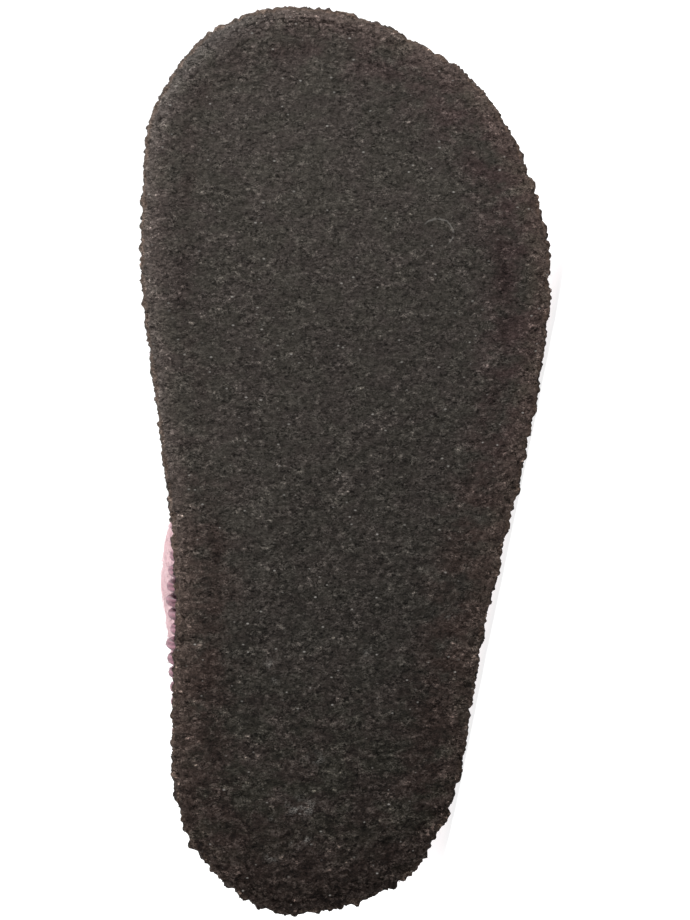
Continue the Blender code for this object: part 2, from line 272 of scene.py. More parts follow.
@dataclass(frozen=True)
class ShoeShape:
    """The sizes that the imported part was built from, and the curves that follow from them.

    Attributes:
        length: Length of the sole.
        ball_width: Width at the ball, which all reaches across are shares of.
        sole: Thickness of the sole.
        toe_spring: How far the toe end stands off the sole's flat.
        heel_spring: How far the heel end stands off it.
        arch_rise: How far the medial arch stands off it.
        heel_height: Height of the heel collar over the sole.
        gap: Clearance between neighbouring pieces.
        yarn: Radius of the seam yarn's room.
        yarn_room: Room between the seam yarn and the felt.
        seam: How far inside the sole's edge the seam runs.
        overhang: How much further out the seam runs at the medial waist.
        bulge: How far the felt swells out over the medial waist.
    """

    length: float = 170.0
    ball_width: float = 77.0
    sole: float = 5.0
    toe_spring: float = 4.0
    heel_spring: float = 1.0
    arch_rise: float = 0.8
    heel_height: float = 52.0
    gap: float = 0.3
    yarn: float = 0.95
    yarn_room: float = 0.8
    seam: float = 1.7
    overhang: float = 1.95
    bulge: float = 6.5

    # Where the medial seam and the felt swell out: along and spread as shares of the length.
    WAIST_SEAM = (0.325, 0.085)
    WAIST_BULGE = (0.420, 0.052)
    # Rows of the outline: along as a share of the length, medial and lateral reach of the ball width.
    OUTLINE = (
        (0.0070, 0.090, 0.100),
        (0.0400, 0.188, 0.262),
        (0.0730, 0.249, 0.322),
        (0.1390, 0.300, 0.387),
        (0.2050, 0.308, 0.413),
        (0.3040, 0.299, 0.450),
        (0.4030, 0.303, 0.498),
        (0.5020, 0.328, 0.554),
        (0.6010, 0.356, 0.590),
        (0.7000, 0.381, 0.613),
        (0.7990, 0.379, 0.574),
        (0.8650, 0.364, 0.512),
        (0.9310, 0.299, 0.395),
        (0.9640, 0.236, 0.278),
        (0.9880, 0.150, 0.158),
    )
    # Ribs of the upper: around, then along, across and height of the topline, flare and lift off the sole,
    # and ahead, aside and drop under the topline, as shares of length, ball width and heel height.
    RIBS = (
        (0.000, 0.026, -0.020, 1.000, 0.035, 0.300, -0.020, 0.000, 0.340),
        (0.085, 0.080, 0.195, 0.955, 0.030, 0.280, -0.015, 0.060, 0.330),
        (0.190, 0.240, 0.245, 0.815, 0.022, 0.230, 0.000, 0.090, 0.300),
        (0.290, 0.400, 0.215, 0.810, 0.012, 0.250, 0.045, 0.135, 0.270),
        (0.380, 0.520, 0.110, 0.890, 0.035, 0.270, 0.150, 0.200, 0.220),
        (0.500, 0.575, -0.080, 0.945, 0.030, 0.350, 0.250, 0.000, 0.190),
        (0.620, 0.515, -0.270, 0.885, 0.056, 0.280, 0.150, -0.235, 0.210),
        (0.710, 0.395, -0.355, 0.800, 0.052, 0.250, 0.060, -0.172, 0.250),
        (0.810, 0.240, -0.350, 0.805, 0.026, 0.230, 0.010, -0.078, 0.290),
        (0.915, 0.080, -0.255, 0.950, 0.022, 0.280, -0.015, -0.045, 0.330),
    )

    @staticmethod
    def closed_curve(knots: np.ndarray, values: np.ndarray, at: np.ndarray) -> np.ndarray:
        """The closed cubic curve of period 1 through rows of values, with no jump in slope or bend.

        Args:
            knots: Where each row lies, rising within 0 to 1.
            values: The rows that the curve goes through.
            at: Where it is wanted.

        Returns:
            One row for each wanted place.
        """
        count = len(knots)
        steps = np.roll(knots, -1) - knots
        steps[-1] += 1.0
        rises = (np.roll(values, -1, axis=0) - values) / steps[:, None]
        before = np.roll(steps, 1)
        rows = np.arange(count)
        system = np.zeros((count, count))
        system[rows, rows] = 2.0 * (before + steps)
        system[rows, rows - 1] += before
        system[rows, (rows + 1) % count] += steps
        bends = np.linalg.solve(system, 6.0 * (rises - np.roll(rises, 1, axis=0)))
        ahead = np.roll(bends, -1, axis=0)
        place = (np.asarray(at) - knots[0]) % 1.0 + knots[0]
        span = np.searchsorted(knots, place, side="right") - 1
        run = (place - knots[span])[:, None]
        width = steps[span][:, None]
        slope = rises[span] - width * (2.0 * bends[span] + ahead[span]) / 6.0
        twist = (ahead[span] - bends[span]) / (6.0 * width)
        return values[span] + run * (slope + run * (bends[span] / 2.0 + run * twist))

    @staticmethod
    def even_path(points: np.ndarray, count: int) -> np.ndarray:
        """The path cut into equal lengths by count points, its ends kept."""
        travel = np.concatenate([[0.0], np.cumsum(np.linalg.norm(np.diff(points, axis=0), axis=1))])
        wanted = np.linspace(0.0, travel[-1], count)
        return np.column_stack([np.interp(wanted, travel, points[:, k]) for k in range(points.shape[1])])

    def outline(self, steps: int) -> Outline:
        """The sole's outline through the heel end, the medial rows, the toe end and the lateral rows.

        Args:
            steps: How many places each side gets, equally spaced from heel end to toe end.

        Returns:
            The outline with its outward directions, square to the line between the neighbours.
        """
        rows = np.array(self.OUTLINE)
        medial = np.column_stack([rows[:, 1] * self.ball_width, rows[:, 0] * self.length])
        lateral = np.column_stack([-rows[::-1, 2] * self.ball_width, rows[::-1, 0] * self.length])
        corners = np.vstack([[[0.0, 0.0]], medial, [[0.0, self.length]], lateral])
        sides = np.linalg.norm(np.roll(corners, -1, axis=0) - corners, axis=1)
        knots = np.concatenate([[0.0], np.cumsum(sides)[:-1]]) / sides.sum()
        curve = self.closed_curve(knots, corners, np.linspace(0.0, 1.0, 1440, endpoint=False))
        curve = np.roll(curve, -int(np.argmin(curve[:, 1])), axis=0)
        toe = int(np.argmax(curve[:, 1]))
        medial = self.even_path(curve[: toe + 1], steps + 1)
        lateral = self.even_path(np.vstack([curve[toe:], curve[:1]]), steps + 1)
        places = np.vstack([medial[:-1], lateral[:-1]])
        run = np.roll(places, -1, axis=0) - np.roll(places, 1, axis=0)
        outward = np.column_stack([run[:, 1], -run[:, 0]])
        return Outline(places, unit(outward), steps)

    def bottom(self, plan: np.ndarray) -> np.ndarray:
        """How far the sole's bottom stands off its flat: toe and heel as squares, the arch as a bell."""
        along = plan[:, 1] / self.length
        toe = np.clip((along - 0.68) / 0.32, 0.0, None)
        heel = np.clip(1.0 - along / 0.075, 0.0, None)
        inwards = np.clip(plan[:, 0] / self.ball_width / 0.3, 0.0, 1.0)
        arch = hump(along, 0.42, 0.12) * inwards**2
        return self.toe_spring * toe**2 + self.heel_spring * heel**2 + self.arch_rise * arch

    def raised(self, plan: np.ndarray, height: Union[float, np.ndarray]) -> np.ndarray:
        """Places of the plan set at a height over the sole's bottom."""
        return np.column_stack([plan, self.bottom(plan) + height])

    def over_sole(self, points: np.ndarray) -> np.ndarray:
        """How far each place lies over the sole's top."""
        return points[:, 2] - self.bottom(points[:, :2]) - self.sole

    def medial_swell(self, outline: Outline, at: float, spread: float) -> np.ndarray:
        """A bell along the medial side, 0 on the lateral side."""
        swell = hump(outline.places[:, 1] / self.length, at, spread)
        swell[outline.steps :] = 0.0
        return swell

    def seam_inset(self, outline: Outline) -> np.ndarray:
        """How far inside the sole's edge the seam runs at each place."""
        return self.seam - self.overhang * self.medial_swell(outline, *self.WAIST_SEAM)

    def felt_inset(self, outline: Outline) -> np.ndarray:
        """How far inside the sole's edge the felt's outer face meets it."""
        return self.seam_inset(outline) + self.yarn + self.yarn_room

    def upper_face(self, outline: Outline, ups: np.ndarray) -> np.ndarray:
        """The upper's outer face: at each place a cubic Bezier rib from the sole to the topline.

        Args:
            outline: The outline whose places the ribs stand on.
            ups: Shares of the way up each rib.

        Returns:
            Rows of points, one row for each share.
        """
        table = np.array(self.RIBS)
        along, across, height, flare, lift, ahead, aside, drop = self.closed_curve(
            table[:, 0], table[:, 1:], outline.shares()
        ).T
        base = self.raised(outline.inset(self.felt_inset(outline)), self.sole + self.gap)
        swell = flare * self.ball_width + self.bulge * self.medial_swell(outline, *self.WAIST_BULGE)
        lead = base + np.column_stack([outline.outward * swell[:, None], lift * self.heel_height])
        edge = np.column_stack(
            [across * self.ball_width, along * self.length, height * self.heel_height + self.sole]
        )
        reach = edge + np.column_stack(
            [aside * self.ball_width, ahead * self.length, -drop * self.heel_height]
        )
        up = ups[:, None, None]
        rest = 1.0 - up
        return base * rest**3 + lead * 3.0 * rest**2 * up + reach * 3.0 * rest * up**2 + edge * up**3


# Surfaces and meshes


@dataclass
class Surface:
    """Points with the faces between them, still in the shoe's frame.

    Attributes:
        points: Places, in millimetres.
        outward: The direction in which each point is moved to raise it.
        quads: Four-sided faces.
        triangles: Three-sided faces.
    """

    points: np.ndarray
    outward: np.ndarray
    quads: np.ndarray
    triangles: np.ndarray

    def raise_by(self, height: np.ndarray) -> None:
        """Moves each point outwards by its own height."""
        self.points = self.points + self.outward * height[:, None]

    @staticmethod
    def of_quads(grid: np.ndarray, quads: np.ndarray) -> "Surface":
        """A finished grid of points with four-sided faces alone, which isn't raised any more."""
        flat = grid.reshape(-1, 3)
        return Surface(flat, flat, quads, np.empty((0, 3), np.int64))


def grid_quads(rows: int, around: int, closed_rows: bool) -> np.ndarray:
    """Quads over a grid whose columns close round, and whose rows may close too.

    Args:
        rows: How many rows the grid has.
        around: How many points each row has.
        closed_rows: Whether the last row joins the first.

    Returns:
        The faces, which look outwards where rows rise and columns run against the clock.
    """
    numbers = np.arange(rows * around).reshape(rows, around)
    beyond = np.roll(numbers, -1, axis=0)
    if not closed_rows:
        numbers, beyond = numbers[:-1], beyond[:-1]
    corners = [numbers, np.roll(numbers, -1, axis=1), np.roll(beyond, -1, axis=1), beyond]
    return np.stack(corners, axis=-1).reshape(-1, 4)


@dataclass(frozen=True)
class Slab:
    """A flat piece on the shoe's plan: an edge profile carried round it, and two faces closed by cross rows.

    Attributes:
        shape: The shoe's shape, whose bottom the slab follows.
        outline: The slab's own edge.
        profile: Rows of inset, height, outward and upward share, from below upwards.
        below: How many columns the bottom face has.
        above: How many columns the top face has.
    """

    shape: ShoeShape
    outline: Outline
    profile: np.ndarray
    below: int
    above: int

    def cap(self, rim: int, inset: float, columns: int, first: int) -> tuple[np.ndarray, ...]:
        """One face: straight rows from the medial to the lateral side, and a fan at each end.

        Args:
            rim: Number of the first point of the edge row that the face closes.
            inset: That row's inset.
            columns: How many columns the face has.
            first: Number that its first new point gets.

        Returns:
            Its new plan places, quads and triangles, facing down.
        """
        plan = self.outline.inset(inset)
        steps = self.outline.steps
        medial = np.arange(1, steps)
        lateral = 2 * steps - medial
        shares = (np.arange(1, columns) / columns)[None, :, None]
        inner = plan[medial][:, None] * (1.0 - shares) + plan[lateral][:, None] * shares
        numbers = first + np.arange((steps - 1) * (columns - 1)).reshape(steps - 1, columns - 1)
        table = np.hstack([rim + medial[:, None], numbers, rim + lateral[:, None]])
        quads = np.stack([table[:-1, :-1], table[:-1, 1:], table[1:, 1:], table[1:, :-1]], axis=-1)
        heel = np.column_stack([np.full(columns, rim), table[0, 1:], table[0, :-1]])
        toe = np.column_stack([np.full(columns, rim + steps), table[-1, :-1], table[-1, 1:]])
        return inner.reshape(-1, 2), quads.reshape(-1, 4), np.vstack([heel, toe])

    def surface(self) -> Surface:
        """The whole slab, closed: its edge rows, the bottom face and the top face.

        Returns:
            The surface, each point with the direction that its profile row gives.
        """
        around = 2 * self.outline.steps
        points = []
        outward = []
        for inset, height, out, up in self.profile:
            points.append(self.shape.raised(self.outline.inset(inset), height))
            outward.append(np.column_stack([self.outline.outward * out, np.full(around, up)]))
        quads = [grid_quads(len(self.profile), around, closed_rows=False)]
        triangles = []
        count = len(self.profile) * around
        for row, columns, up in ((0, self.below, -1.0), (len(self.profile) - 1, self.above, 1.0)):
            plan, squares, fans = self.cap(row * around, self.profile[row, 0], columns, count)
            points.append(self.shape.raised(plan, self.profile[row, 1]))
            outward.append(np.tile([0.0, 0.0, up], (len(plan), 1)))
            quads.append(squares if up < 0.0 else squares[:, ::-1])
            triangles.append(fans if up < 0.0 else fans[:, ::-1])
            count += len(plan)
        return Surface(np.vstack(points), np.vstack(outward), np.vstack(quads), np.vstack(triangles))


def rounded_edge(thickness: float, below: float, above: float, steps: tuple[int, int, int]) -> np.ndarray:
    """A slab's edge from below upwards: a quarter round, a straight side and a quarter round.

    Args:
        thickness: The slab's thickness.
        below: Radius of the lower round.
        above: Radius of the upper round.
        steps: How many steps the lower round, the side and the upper round get.

    Returns:
        Rows of inset, height, outward and upward share.
    """
    low = np.linspace(0.0, math.pi / 2.0, steps[0] + 1)
    side = np.linspace(below, thickness - above, steps[1] + 1)[1:-1]
    high = np.linspace(0.0, math.pi / 2.0, steps[2] + 1)
    lower = [below * (1 - np.sin(low)), below * (1 - np.cos(low)), np.sin(low), -np.cos(low)]
    straight = [0.0 * side, side, 0.0 * side + 1.0, 0.0 * side]
    upper = [above * (1 - np.cos(high)), thickness - above * (1 - np.sin(high)), np.cos(high), np.sin(high)]
    return np.column_stack([np.concatenate(parts) for parts in zip(lower, straight, upper)])


def linked(name: str, data: bpy.types.ID) -> bpy.types.Object:
    """A new object of the scene that holds a mesh, a lamp or a camera."""
    thing = bpy.data.objects.new(name, data)
    bpy.context.scene.collection.objects.link(thing)
    return thing


@dataclass(frozen=True)
class Workbench:
    """Turns a surface into a finished object of the scene.

    Attributes:
        place: Where the shoe lies.
    """

    place: ShoeFrame

    def piece(
        self,
        name: str,
        surface: Surface,
        material: bpy.types.Material,
        slot: Slot,
        marks: dict[str, np.ndarray],
        wraps: Union[np.ndarray, None] = None,
    ) -> bpy.types.Object:
        """Puts the surface into a mesh by whole arrays, smooth shaded, and lets it ride on the root body.

        Args:
            name: The piece's name.
            surface: Its points and faces in the shoe's frame.
            material: Its finish.
            slot: The record's slot that it belongs to; not used.
            marks: Numbers for each point that the finish reads, by name.
            wraps: A place (u, v) for each corner of each quad, where the finish follows the surface.

        Returns:
            The new object.
        """
        corners = np.concatenate([surface.quads.ravel(), surface.triangles.ravel()]).astype(np.int32)
        sizes = np.concatenate([np.full(len(surface.quads), 4), np.full(len(surface.triangles), 3)])
        starts = np.concatenate([[0], np.cumsum(sizes)[:-1]])
        mesh = bpy.data.meshes.new(name)
        mesh.vertices.add(len(surface.points))
        mesh.vertices.foreach_set("co", self.place.laid(surface.points).astype(np.float32).ravel())
        mesh.loops.add(len(corners))
        mesh.loops.foreach_set("vertex_index", corners)
        mesh.polygons.add(len(sizes))
        mesh.polygons.foreach_set("loop_start", starts.astype(np.int32))
        mesh.polygons.foreach_set("loop_total", sizes.astype(np.int32))
        mesh.update(calc_edges=True)
        mesh.validate()
        mesh.shade_smooth()
        for mark, values in marks.items():
            attribute = mesh.attributes.new(mark, "FLOAT", "POINT")
            attribute.data.foreach_set("value", values.astype(np.float32))
        if wraps is not None:
            mesh.uv_layers.new(name="wrap").data.foreach_set("uv", wraps.astype(np.float32).ravel())
        mesh.materials.append(material)
        piece = linked(name, mesh)
        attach(piece, "root")
        log.info("%s: %d points, %d faces", name, len(mesh.vertices), len(mesh.polygons))
        return piece


# Finishes

Value = Union["Socket", float]
Colour = tuple[float, float, float]


class Socket:
    """One output of a shader node. Sums on it add Math nodes, so that a finish reads as arithmetic."""

    def __init__(self, paint: "Paint", output: bpy.types.NodeSocket) -> None:
        """Keeps the output and the material that it belongs to."""
        self.paint = paint
        self.output = output

    def sum(self, operation: str, first: Value, second: Value) -> "Socket":
        """A Math node on two values."""
        return self.paint.node("ShaderNodeMath", {"operation": operation}, {0: first, 1: second})

    def beside(self, name: Union[int, str]) -> "Socket":
        """Another output of the same node."""
        return Socket(self.paint, self.output.node.outputs[name])

    def __add__(self, other: Value) -> "Socket":
        """This value plus another."""
        return self.sum("ADD", self, other)

    __radd__ = __add__

    def __mul__(self, other: Value) -> "Socket":
        """This value times another."""
        return self.sum("MULTIPLY", self, other)

    __rmul__ = __mul__

    def __sub__(self, other: Value) -> "Socket":
        """This value less another."""
        return self.sum("SUBTRACT", self, other)

    def __rsub__(self, other: Value) -> "Socket":
        """Another value less this one."""
        return self.sum("SUBTRACT", other, self)

    def __rpow__(self, other: Value) -> "Socket":
        """Another value to the power of this one."""
        return self.sum("POWER", other, self)

    def __abs__(self) -> "Socket":
        """This value without its sign."""
        return self.sum("ABSOLUTE", self, 0.0)


class Paint:
    """One material being mixed: its node tree and the ways to add to it."""

    def __init__(self, name: str) -> None:
        """Starts a material whose only nodes are the surface shader and its output."""
        self.material = bpy.data.materials.new(name)
        self.material.use_nodes = True
        self.tree = self.material.node_tree
        self.shader = self.tree.nodes["Principled BSDF"]

    def node(
        self,
        kind: str,
        settings: dict[str, object],
        inputs: dict[Union[int, str], object],
        output: Union[int, str] = 0,
    ) -> Socket:
        """Adds one node of any type.

        Args:
            kind: The node's type.
            settings: Its settings, set before its sockets are read.
            inputs: Values or other sockets by name or number.
            output: Which output is wanted.

        Returns:
            The wanted output.
        """
        node = self.tree.nodes.new(kind)
        for name, value in settings.items():
            setattr(node, name, value)
        for key, value in inputs.items():
            self.feed(node.inputs[key], value)
        return Socket(self, node.outputs[output])

    def feed(self, target: bpy.types.NodeSocket, value: object) -> None:
        """Links a socket to the target, or sets a plain number, colour or vector on it."""
        if isinstance(value, Socket):
            self.tree.links.new(value.output, target)
        elif target.type == "RGBA" and len(value) == 3:
            target.default_value = (*value, 1.0)
        else:
            target.default_value = value

    def vector(
        self, operation: str, inputs: dict[Union[int, str], object], output: Union[int, str] = 0
    ) -> Socket:
        """A Vector Math node on places, directions or colours."""
        return self.node("ShaderNodeVectorMath", {"operation": operation}, inputs, output)

    def dress(self, inputs: dict[str, object]) -> bpy.types.Material:
        """Feeds the surface shader's own sockets and gives the finished material."""
        for name, value in inputs.items():
            self.feed(self.shader.inputs[name], value)
        return self.material

    def places(self) -> Socket:
        """The piece's own coordinates, in millimetres."""
        own = self.node("ShaderNodeTexCoord", {}, {}, "Object")
        return self.vector("SCALE", {0: own, "Scale": 1.0 / MM})

    def drawn_out(self, at: Socket, way: Colour, amount: float) -> Socket:
        """Places p + amount (p . way) way, on which a pattern is shorter along way than across it.

        Args:
            at: Places in millimetres.
            way: A direction of length 1.
            amount: How much shorter.

        Returns:
            The changed places.
        """
        along = self.vector("DOT_PRODUCT", {0: at, 1: way}, "Value")
        shift = self.vector("SCALE", {0: way, "Scale": along * amount})
        return self.vector("ADD", {0: at, 1: shift})

    def mark(self, name: str) -> Socket:
        """A number that the mesh carries for each point."""
        return self.node("ShaderNodeAttribute", {"attribute_name": name}, {}, "Fac")

    def noise(
        self, at: Socket, size: float, detail: float = 2.0, roughness: float = 0.5, warp: float = 0.0
    ) -> Socket:
        """Cloudy noise around 0.5.

        Args:
            at: Places in millimetres.
            size: Its broadest size.
            detail: How many finer layers it has.
            roughness: How strong the finer layers are.
            warp: How far it is warped by itself.

        Returns:
            The noise.
        """
        inputs = {"Vector": at, "Scale": 1.0 / size, "Detail": detail, "Roughness": roughness}
        return self.node("ShaderNodeTexNoise", {}, inputs | {"Distortion": warp})

    def cells(self, at: Socket, size: float) -> tuple[Socket, Socket]:
        """Cells packed in space.

        Args:
            at: Places in millimetres.
            size: Width of a cell.

        Returns:
            The distance to the nearest cell's middle, in cells, and that cell's own random number.
        """
        inputs = {"Vector": at, "Scale": 1.0 / size, "Randomness": 1.0}
        distance = self.node("ShaderNodeTexVoronoi", {}, inputs, "Distance")
        return distance, self.node("ShaderNodeSeparateColor", {}, {"Color": distance.beside("Color")})

    def between(self, value: Value, low: float, high: float) -> Socket:
        """The smooth step from 0 at low to 1 at high, or down again where low is the higher."""
        rising = float(low < high)
        span = {"From Min": min(low, high), "From Max": max(low, high)}
        result = {"To Min": 1.0 - rising, "To Max": rising}
        settings = {"interpolation_type": "SMOOTHSTEP"}
        return self.node("ShaderNodeMapRange", settings, {"Value": value} | span | result)

    def mixed(self, share: Value, first: object, second: object) -> Socket:
        """Lays the second colour over the first.

        Args:
            share: How much of the second colour there is.
            first: The colour below.
            second: The colour above.

        Returns:
            The mixed colour.
        """
        return self.node("ShaderNodeMix", {"data_type": "RGBA"}, {0: share, 6: first, 7: second}, 2)

    def scaled(self, colour: Socket, factor: Value) -> Socket:
        """A colour made lighter or darker by a factor."""
        return self.vector("SCALE", {0: colour, "Scale": factor})

    def bump(self, height: Socket, strength: float = 1.0) -> Socket:
        """A direction bent by a height in millimetres."""
        return self.node("ShaderNodeBump", {}, {"Height": height, "Strength": strength, "Distance": MM})


@dataclass(frozen=True)
class CrumbRubber:
    """Pressed rubber crumb: angular grains of about a millimetre in charcoal, rust, plum and olive.

    Attributes:
        charcoal: The main colour.
        rust: Colour of the reddish patches and of the trough behind the waist.
        plum: The same in front of it.
        moss: Colour of the olive patches.
        rim: Colour of the worn rim, made paler partly as painted light that the rounded rim catches.
        painted_edge_glow: Colour of a painted warm glow of light on its outermost crumbs.
        dust_and_highlight: Colour of paler rubber on the medial and toe rim, and of painted highlights on the
            tops of light grains.
        pale: Colour of painted glints, and of worn specks, flakes and lint.
        grain: Size of a grain, in millimetres.
        lengthways: The scene's direction from heel to toe, across which the grain is drawn out.
        lint_middle: Middle of the arc of lint on the ball, in the scene's millimetres.
        lint_way: Direction from that middle to the middle of the arc.
        lint_radius: Radius of the arc.
    """

    charcoal: Colour = (0.0286, 0.0251, 0.0220)
    rust: Colour = (0.0366, 0.0246, 0.0206)
    plum: Colour = (0.0362, 0.0242, 0.0226)
    moss: Colour = (0.0288, 0.0264, 0.0184)
    rim: Colour = (0.0640, 0.0460, 0.0388)
    painted_edge_glow: Colour = (0.0780, 0.0530, 0.0400)
    dust_and_highlight: Colour = (0.0558, 0.0508, 0.0470)
    pale: Colour = (0.2000, 0.1900, 0.1760)
    grain: float = 1.0
    lengthways: Colour = (0.0, 1.0, 0.0)
    lint_middle: Colour = (0.0, 0.0, 0.0)
    lint_way: Colour = (0.0, 1.0, 0.0)
    lint_radius: float = 2.9

    # The middle of the arc of lint on the shoe's plan, and a place from there towards its line.
    LINT = ((-26.1, 127.2, 0.0), (-27.0, 128.7, 0.0))

    @staticmethod
    def laid(place: ShoeFrame) -> "CrumbRubber":
        """The finish with its grain and its lint turned as the shoe lies.

        Args:
            place: Where the shoe lies.

        Returns:
            The finish.
        """
        middle, beyond = place.laid(np.array(CrumbRubber.LINT)) / MM
        way = unit(beyond - middle)
        return CrumbRubber(lengthways=tuple(place.turn[1]), lint_middle=tuple(middle), lint_way=tuple(way))

    def lint(self, paint: Paint) -> Socket:
        """How much a curled fibre of lint covers: 1 where the distance to its middle is near its radius.

        Args:
            paint: The material being mixed.

        Returns:
            The fibre's share, broken by noise and only on one side of its middle.
        """
        at = paint.places()
        wave = paint.noise(at, 1.6, 1.0) - 0.5
        away = paint.vector("SUBTRACT", {0: at, 1: self.lint_middle})
        far = paint.vector("LENGTH", {0: away}, "Value")
        side = paint.vector("DOT_PRODUCT", {0: away, 1: self.lint_way}, "Value")
        line = paint.between(abs(far + wave * 1.1 - self.lint_radius), 0.20, 0.08)
        return line * paint.between(side, -1.2, 0.3) * paint.between(wave, -0.16, 0.0) * 0.35

    def tint(self, paint: Paint, at: Socket, rim: Socket) -> Socket:
        """The rubber's hue: charcoal with red and olive patches, redder near the edge, paler on the rim
        partly as painted light that the rounded rim catches, and with a painted warm edge glow on the
        outermost crumbs.

        Args:
            paint: The material being mixed.
            at: Places in millimetres.
            rim: How much of the worn rim each place has.

        Returns:
            The colour before its grain.
        """
        along, edge, low, inner = (paint.mark(name) for name in ("along", "edge", "low", "inner"))
        medial = paint.between(inner, -0.2, 0.5) * paint.between(along, 0.30, 0.55)
        patch = paint.noise(at, 7.0, 3.0, 0.6)
        red = paint.mixed(paint.between(along, 0.62, 0.36), self.plum, self.rust)
        colour = paint.mixed(paint.between(patch, 0.40, 0.60), red, self.moss)
        heel = paint.between(along, 0.34, 0.08)
        colour = paint.mixed(0.16 + rim * 0.5 + heel * 0.45, self.charcoal, colour)
        colour = paint.mixed(paint.between(along, 0.14, 0.0) * 0.9, colour, self.rust)
        reddish = paint.between(edge, 16.0, 5.0) * (1.0 - medial * 0.85) * paint.between(patch, 0.66, 0.36)
        reddish = reddish * (1.0 - paint.between(along, 0.84, 0.98) * 0.5)
        colour = paint.mixed(reddish, colour, red)
        toe = paint.between(along, 0.80, 0.96)
        # The rim's paler colour is partly worn rubber and partly painted light that the rounded rim catches,
        # more on the medial side and at the toe.
        rim_wear_and_light = paint.mixed(medial * 0.6 + toe * 0.3, self.rim, self.dust_and_highlight)
        rim_wear_and_light_share = rim * paint.between(along, -0.05, 0.34) * (0.76 + inner * 0.13)
        colour = paint.mixed(rim_wear_and_light_share, colour, rim_wear_and_light)
        # Painted edge glow: a warm, light colour on the outermost crumbs of the wall stands in for light
        # glowing round the edge.
        colour = paint.mixed(paint.between(edge, 0.9, 0.0) * low * 0.6, colour, self.painted_edge_glow)
        return paint.mixed(paint.mark("trough") * 0.8, colour, red)

    def level(self, paint: Paint, rim: Socket) -> Socket:
        """How light the rubber is before its grain, with painted light: it rises from heel to toe as if lit
        from the toe end and is lighter on the medial side as if lit from there; it is also lighter at the
        waist near the edge and on the rim.

        Args:
            paint: The material being mixed.
            rim: How much of the worn rim each place has.

        Returns:
            A factor on the colour.
        """
        along, edge, inner = (paint.mark(name) for name in ("along", "edge", "inner"))
        waist = paint.between(along, 0.30, 0.44) * paint.between(along, 0.70, 0.56)
        waist = waist * paint.between(edge, 22.0, 10.0)
        # Painted light: lighter towards the toe and on the medial side, as if lit from the toe end and from
        # the medial side.
        level = 0.462 + along * 0.860 + inner * 0.085 + waist * 0.075 + rim * 0.045
        return level - paint.between(along, 0.24, 0.06) * 0.075 - paint.between(along, 0.76, 1.0) * 0.085

    def material(self) -> bpy.types.Material:
        """Mixes the finish: patches by noise, grains by cells, and the mesh's own marks for wear, painted
        light and painted shade.

        Its tone doubles with each whole step of a sum: each grain's own number, light curled edges where a
        warped noise crosses 0.5, dark pits of painted shade where another is low, and a fine speckle.

        Returns:
            The material.
        """
        paint = Paint("pressed rubber crumb")
        at = paint.drawn_out(paint.places(), self.lengthways, 0.55)
        along = paint.mark("along")
        rim = paint.between(paint.mark("edge"), 6.0, 0.6) * (0.3 + paint.mark("low") * 0.7)
        reach, own = paint.cells(at, self.grain)
        fine_reach, fine_own = paint.cells(at, self.grain * 0.45)
        curl = abs(paint.noise(at, 0.95, 2.0, 0.6, 1.8) - 0.5)
        curls = paint.between(curl, 0.070, 0.015) * paint.between(paint.noise(at, 1.4, 1.0), 0.50, 0.64)
        # Painted shade: the tone below darkens these pits as shaded hollows.
        pits = paint.between(paint.noise(at, 0.75, 2.0, 0.6, 0.8), 0.45, 0.34)
        speckle = paint.noise(at, 0.30, 2.0, 0.75)
        clumps = paint.noise(at, 2.8, 3.0, 0.6, 0.6)
        bright = paint.between(own, 0.84, 0.97) * paint.between(reach, 0.50, 0.22)
        busy = 0.68 + paint.between(paint.noise(at, 3.2, 2.0, 0.5, 0.4), 0.40, 0.60) * 0.56
        tone = (own - 0.5) * 0.75 + (fine_own - 0.5) * 1.15 + (speckle - 0.5) * 4.6
        tone = tone + curls * 1.80 + bright * 1.1 - pits * 1.3
        tone = tone * (1.10 - along * 0.28 + rim * 0.20) * busy
        rough = 0.8 + paint.between(along, 0.62, 0.02) * 2.9
        # Painted shade: the trough is darkened as its hollow would be shaded; its reddish tint is set in
        # tint.
        tone = tone + (clumps - 0.5) * rough - paint.mark("trough") * 0.85
        colour = paint.scaled(self.tint(paint, at, rim), (2.0**tone) * self.level(paint, rim))
        # Painted highlight: the lightest grains turn towards a neutral pale colour, as highlights on their
        # tops.
        colour = paint.mixed(paint.between(tone, 0.1, 1.7) * 0.40, colour, self.dust_and_highlight)

        # Painted glints: pale spots on some cells stand in for light sparkling off single grains.
        painted_glint_reach, painted_glint_own = paint.cells(at, 2.0)
        painted_glint = paint.between(painted_glint_reach, 0.17, 0.08) * paint.between(painted_glint_own, 0.68, 0.90)
        worn = paint.mark("pale") * paint.between(speckle, 0.40, 0.60)
        for share in (painted_glint * 0.75, worn * 0.6, self.lint(paint)):
            colour = paint.mixed(share, colour, self.pale)
        height = (0.5 - reach) * 0.28 + own * 0.10 + (0.5 - fine_reach) * 0.12 + speckle * 0.16
        return paint.dress(
            {
                "Base Color": colour,
                "Roughness": 0.62 + own * 0.25,
                "Specular IOR Level": 0.05,
                "Normal": paint.bump(height + curls * 0.08 - pits * 0.10),
            }
        )


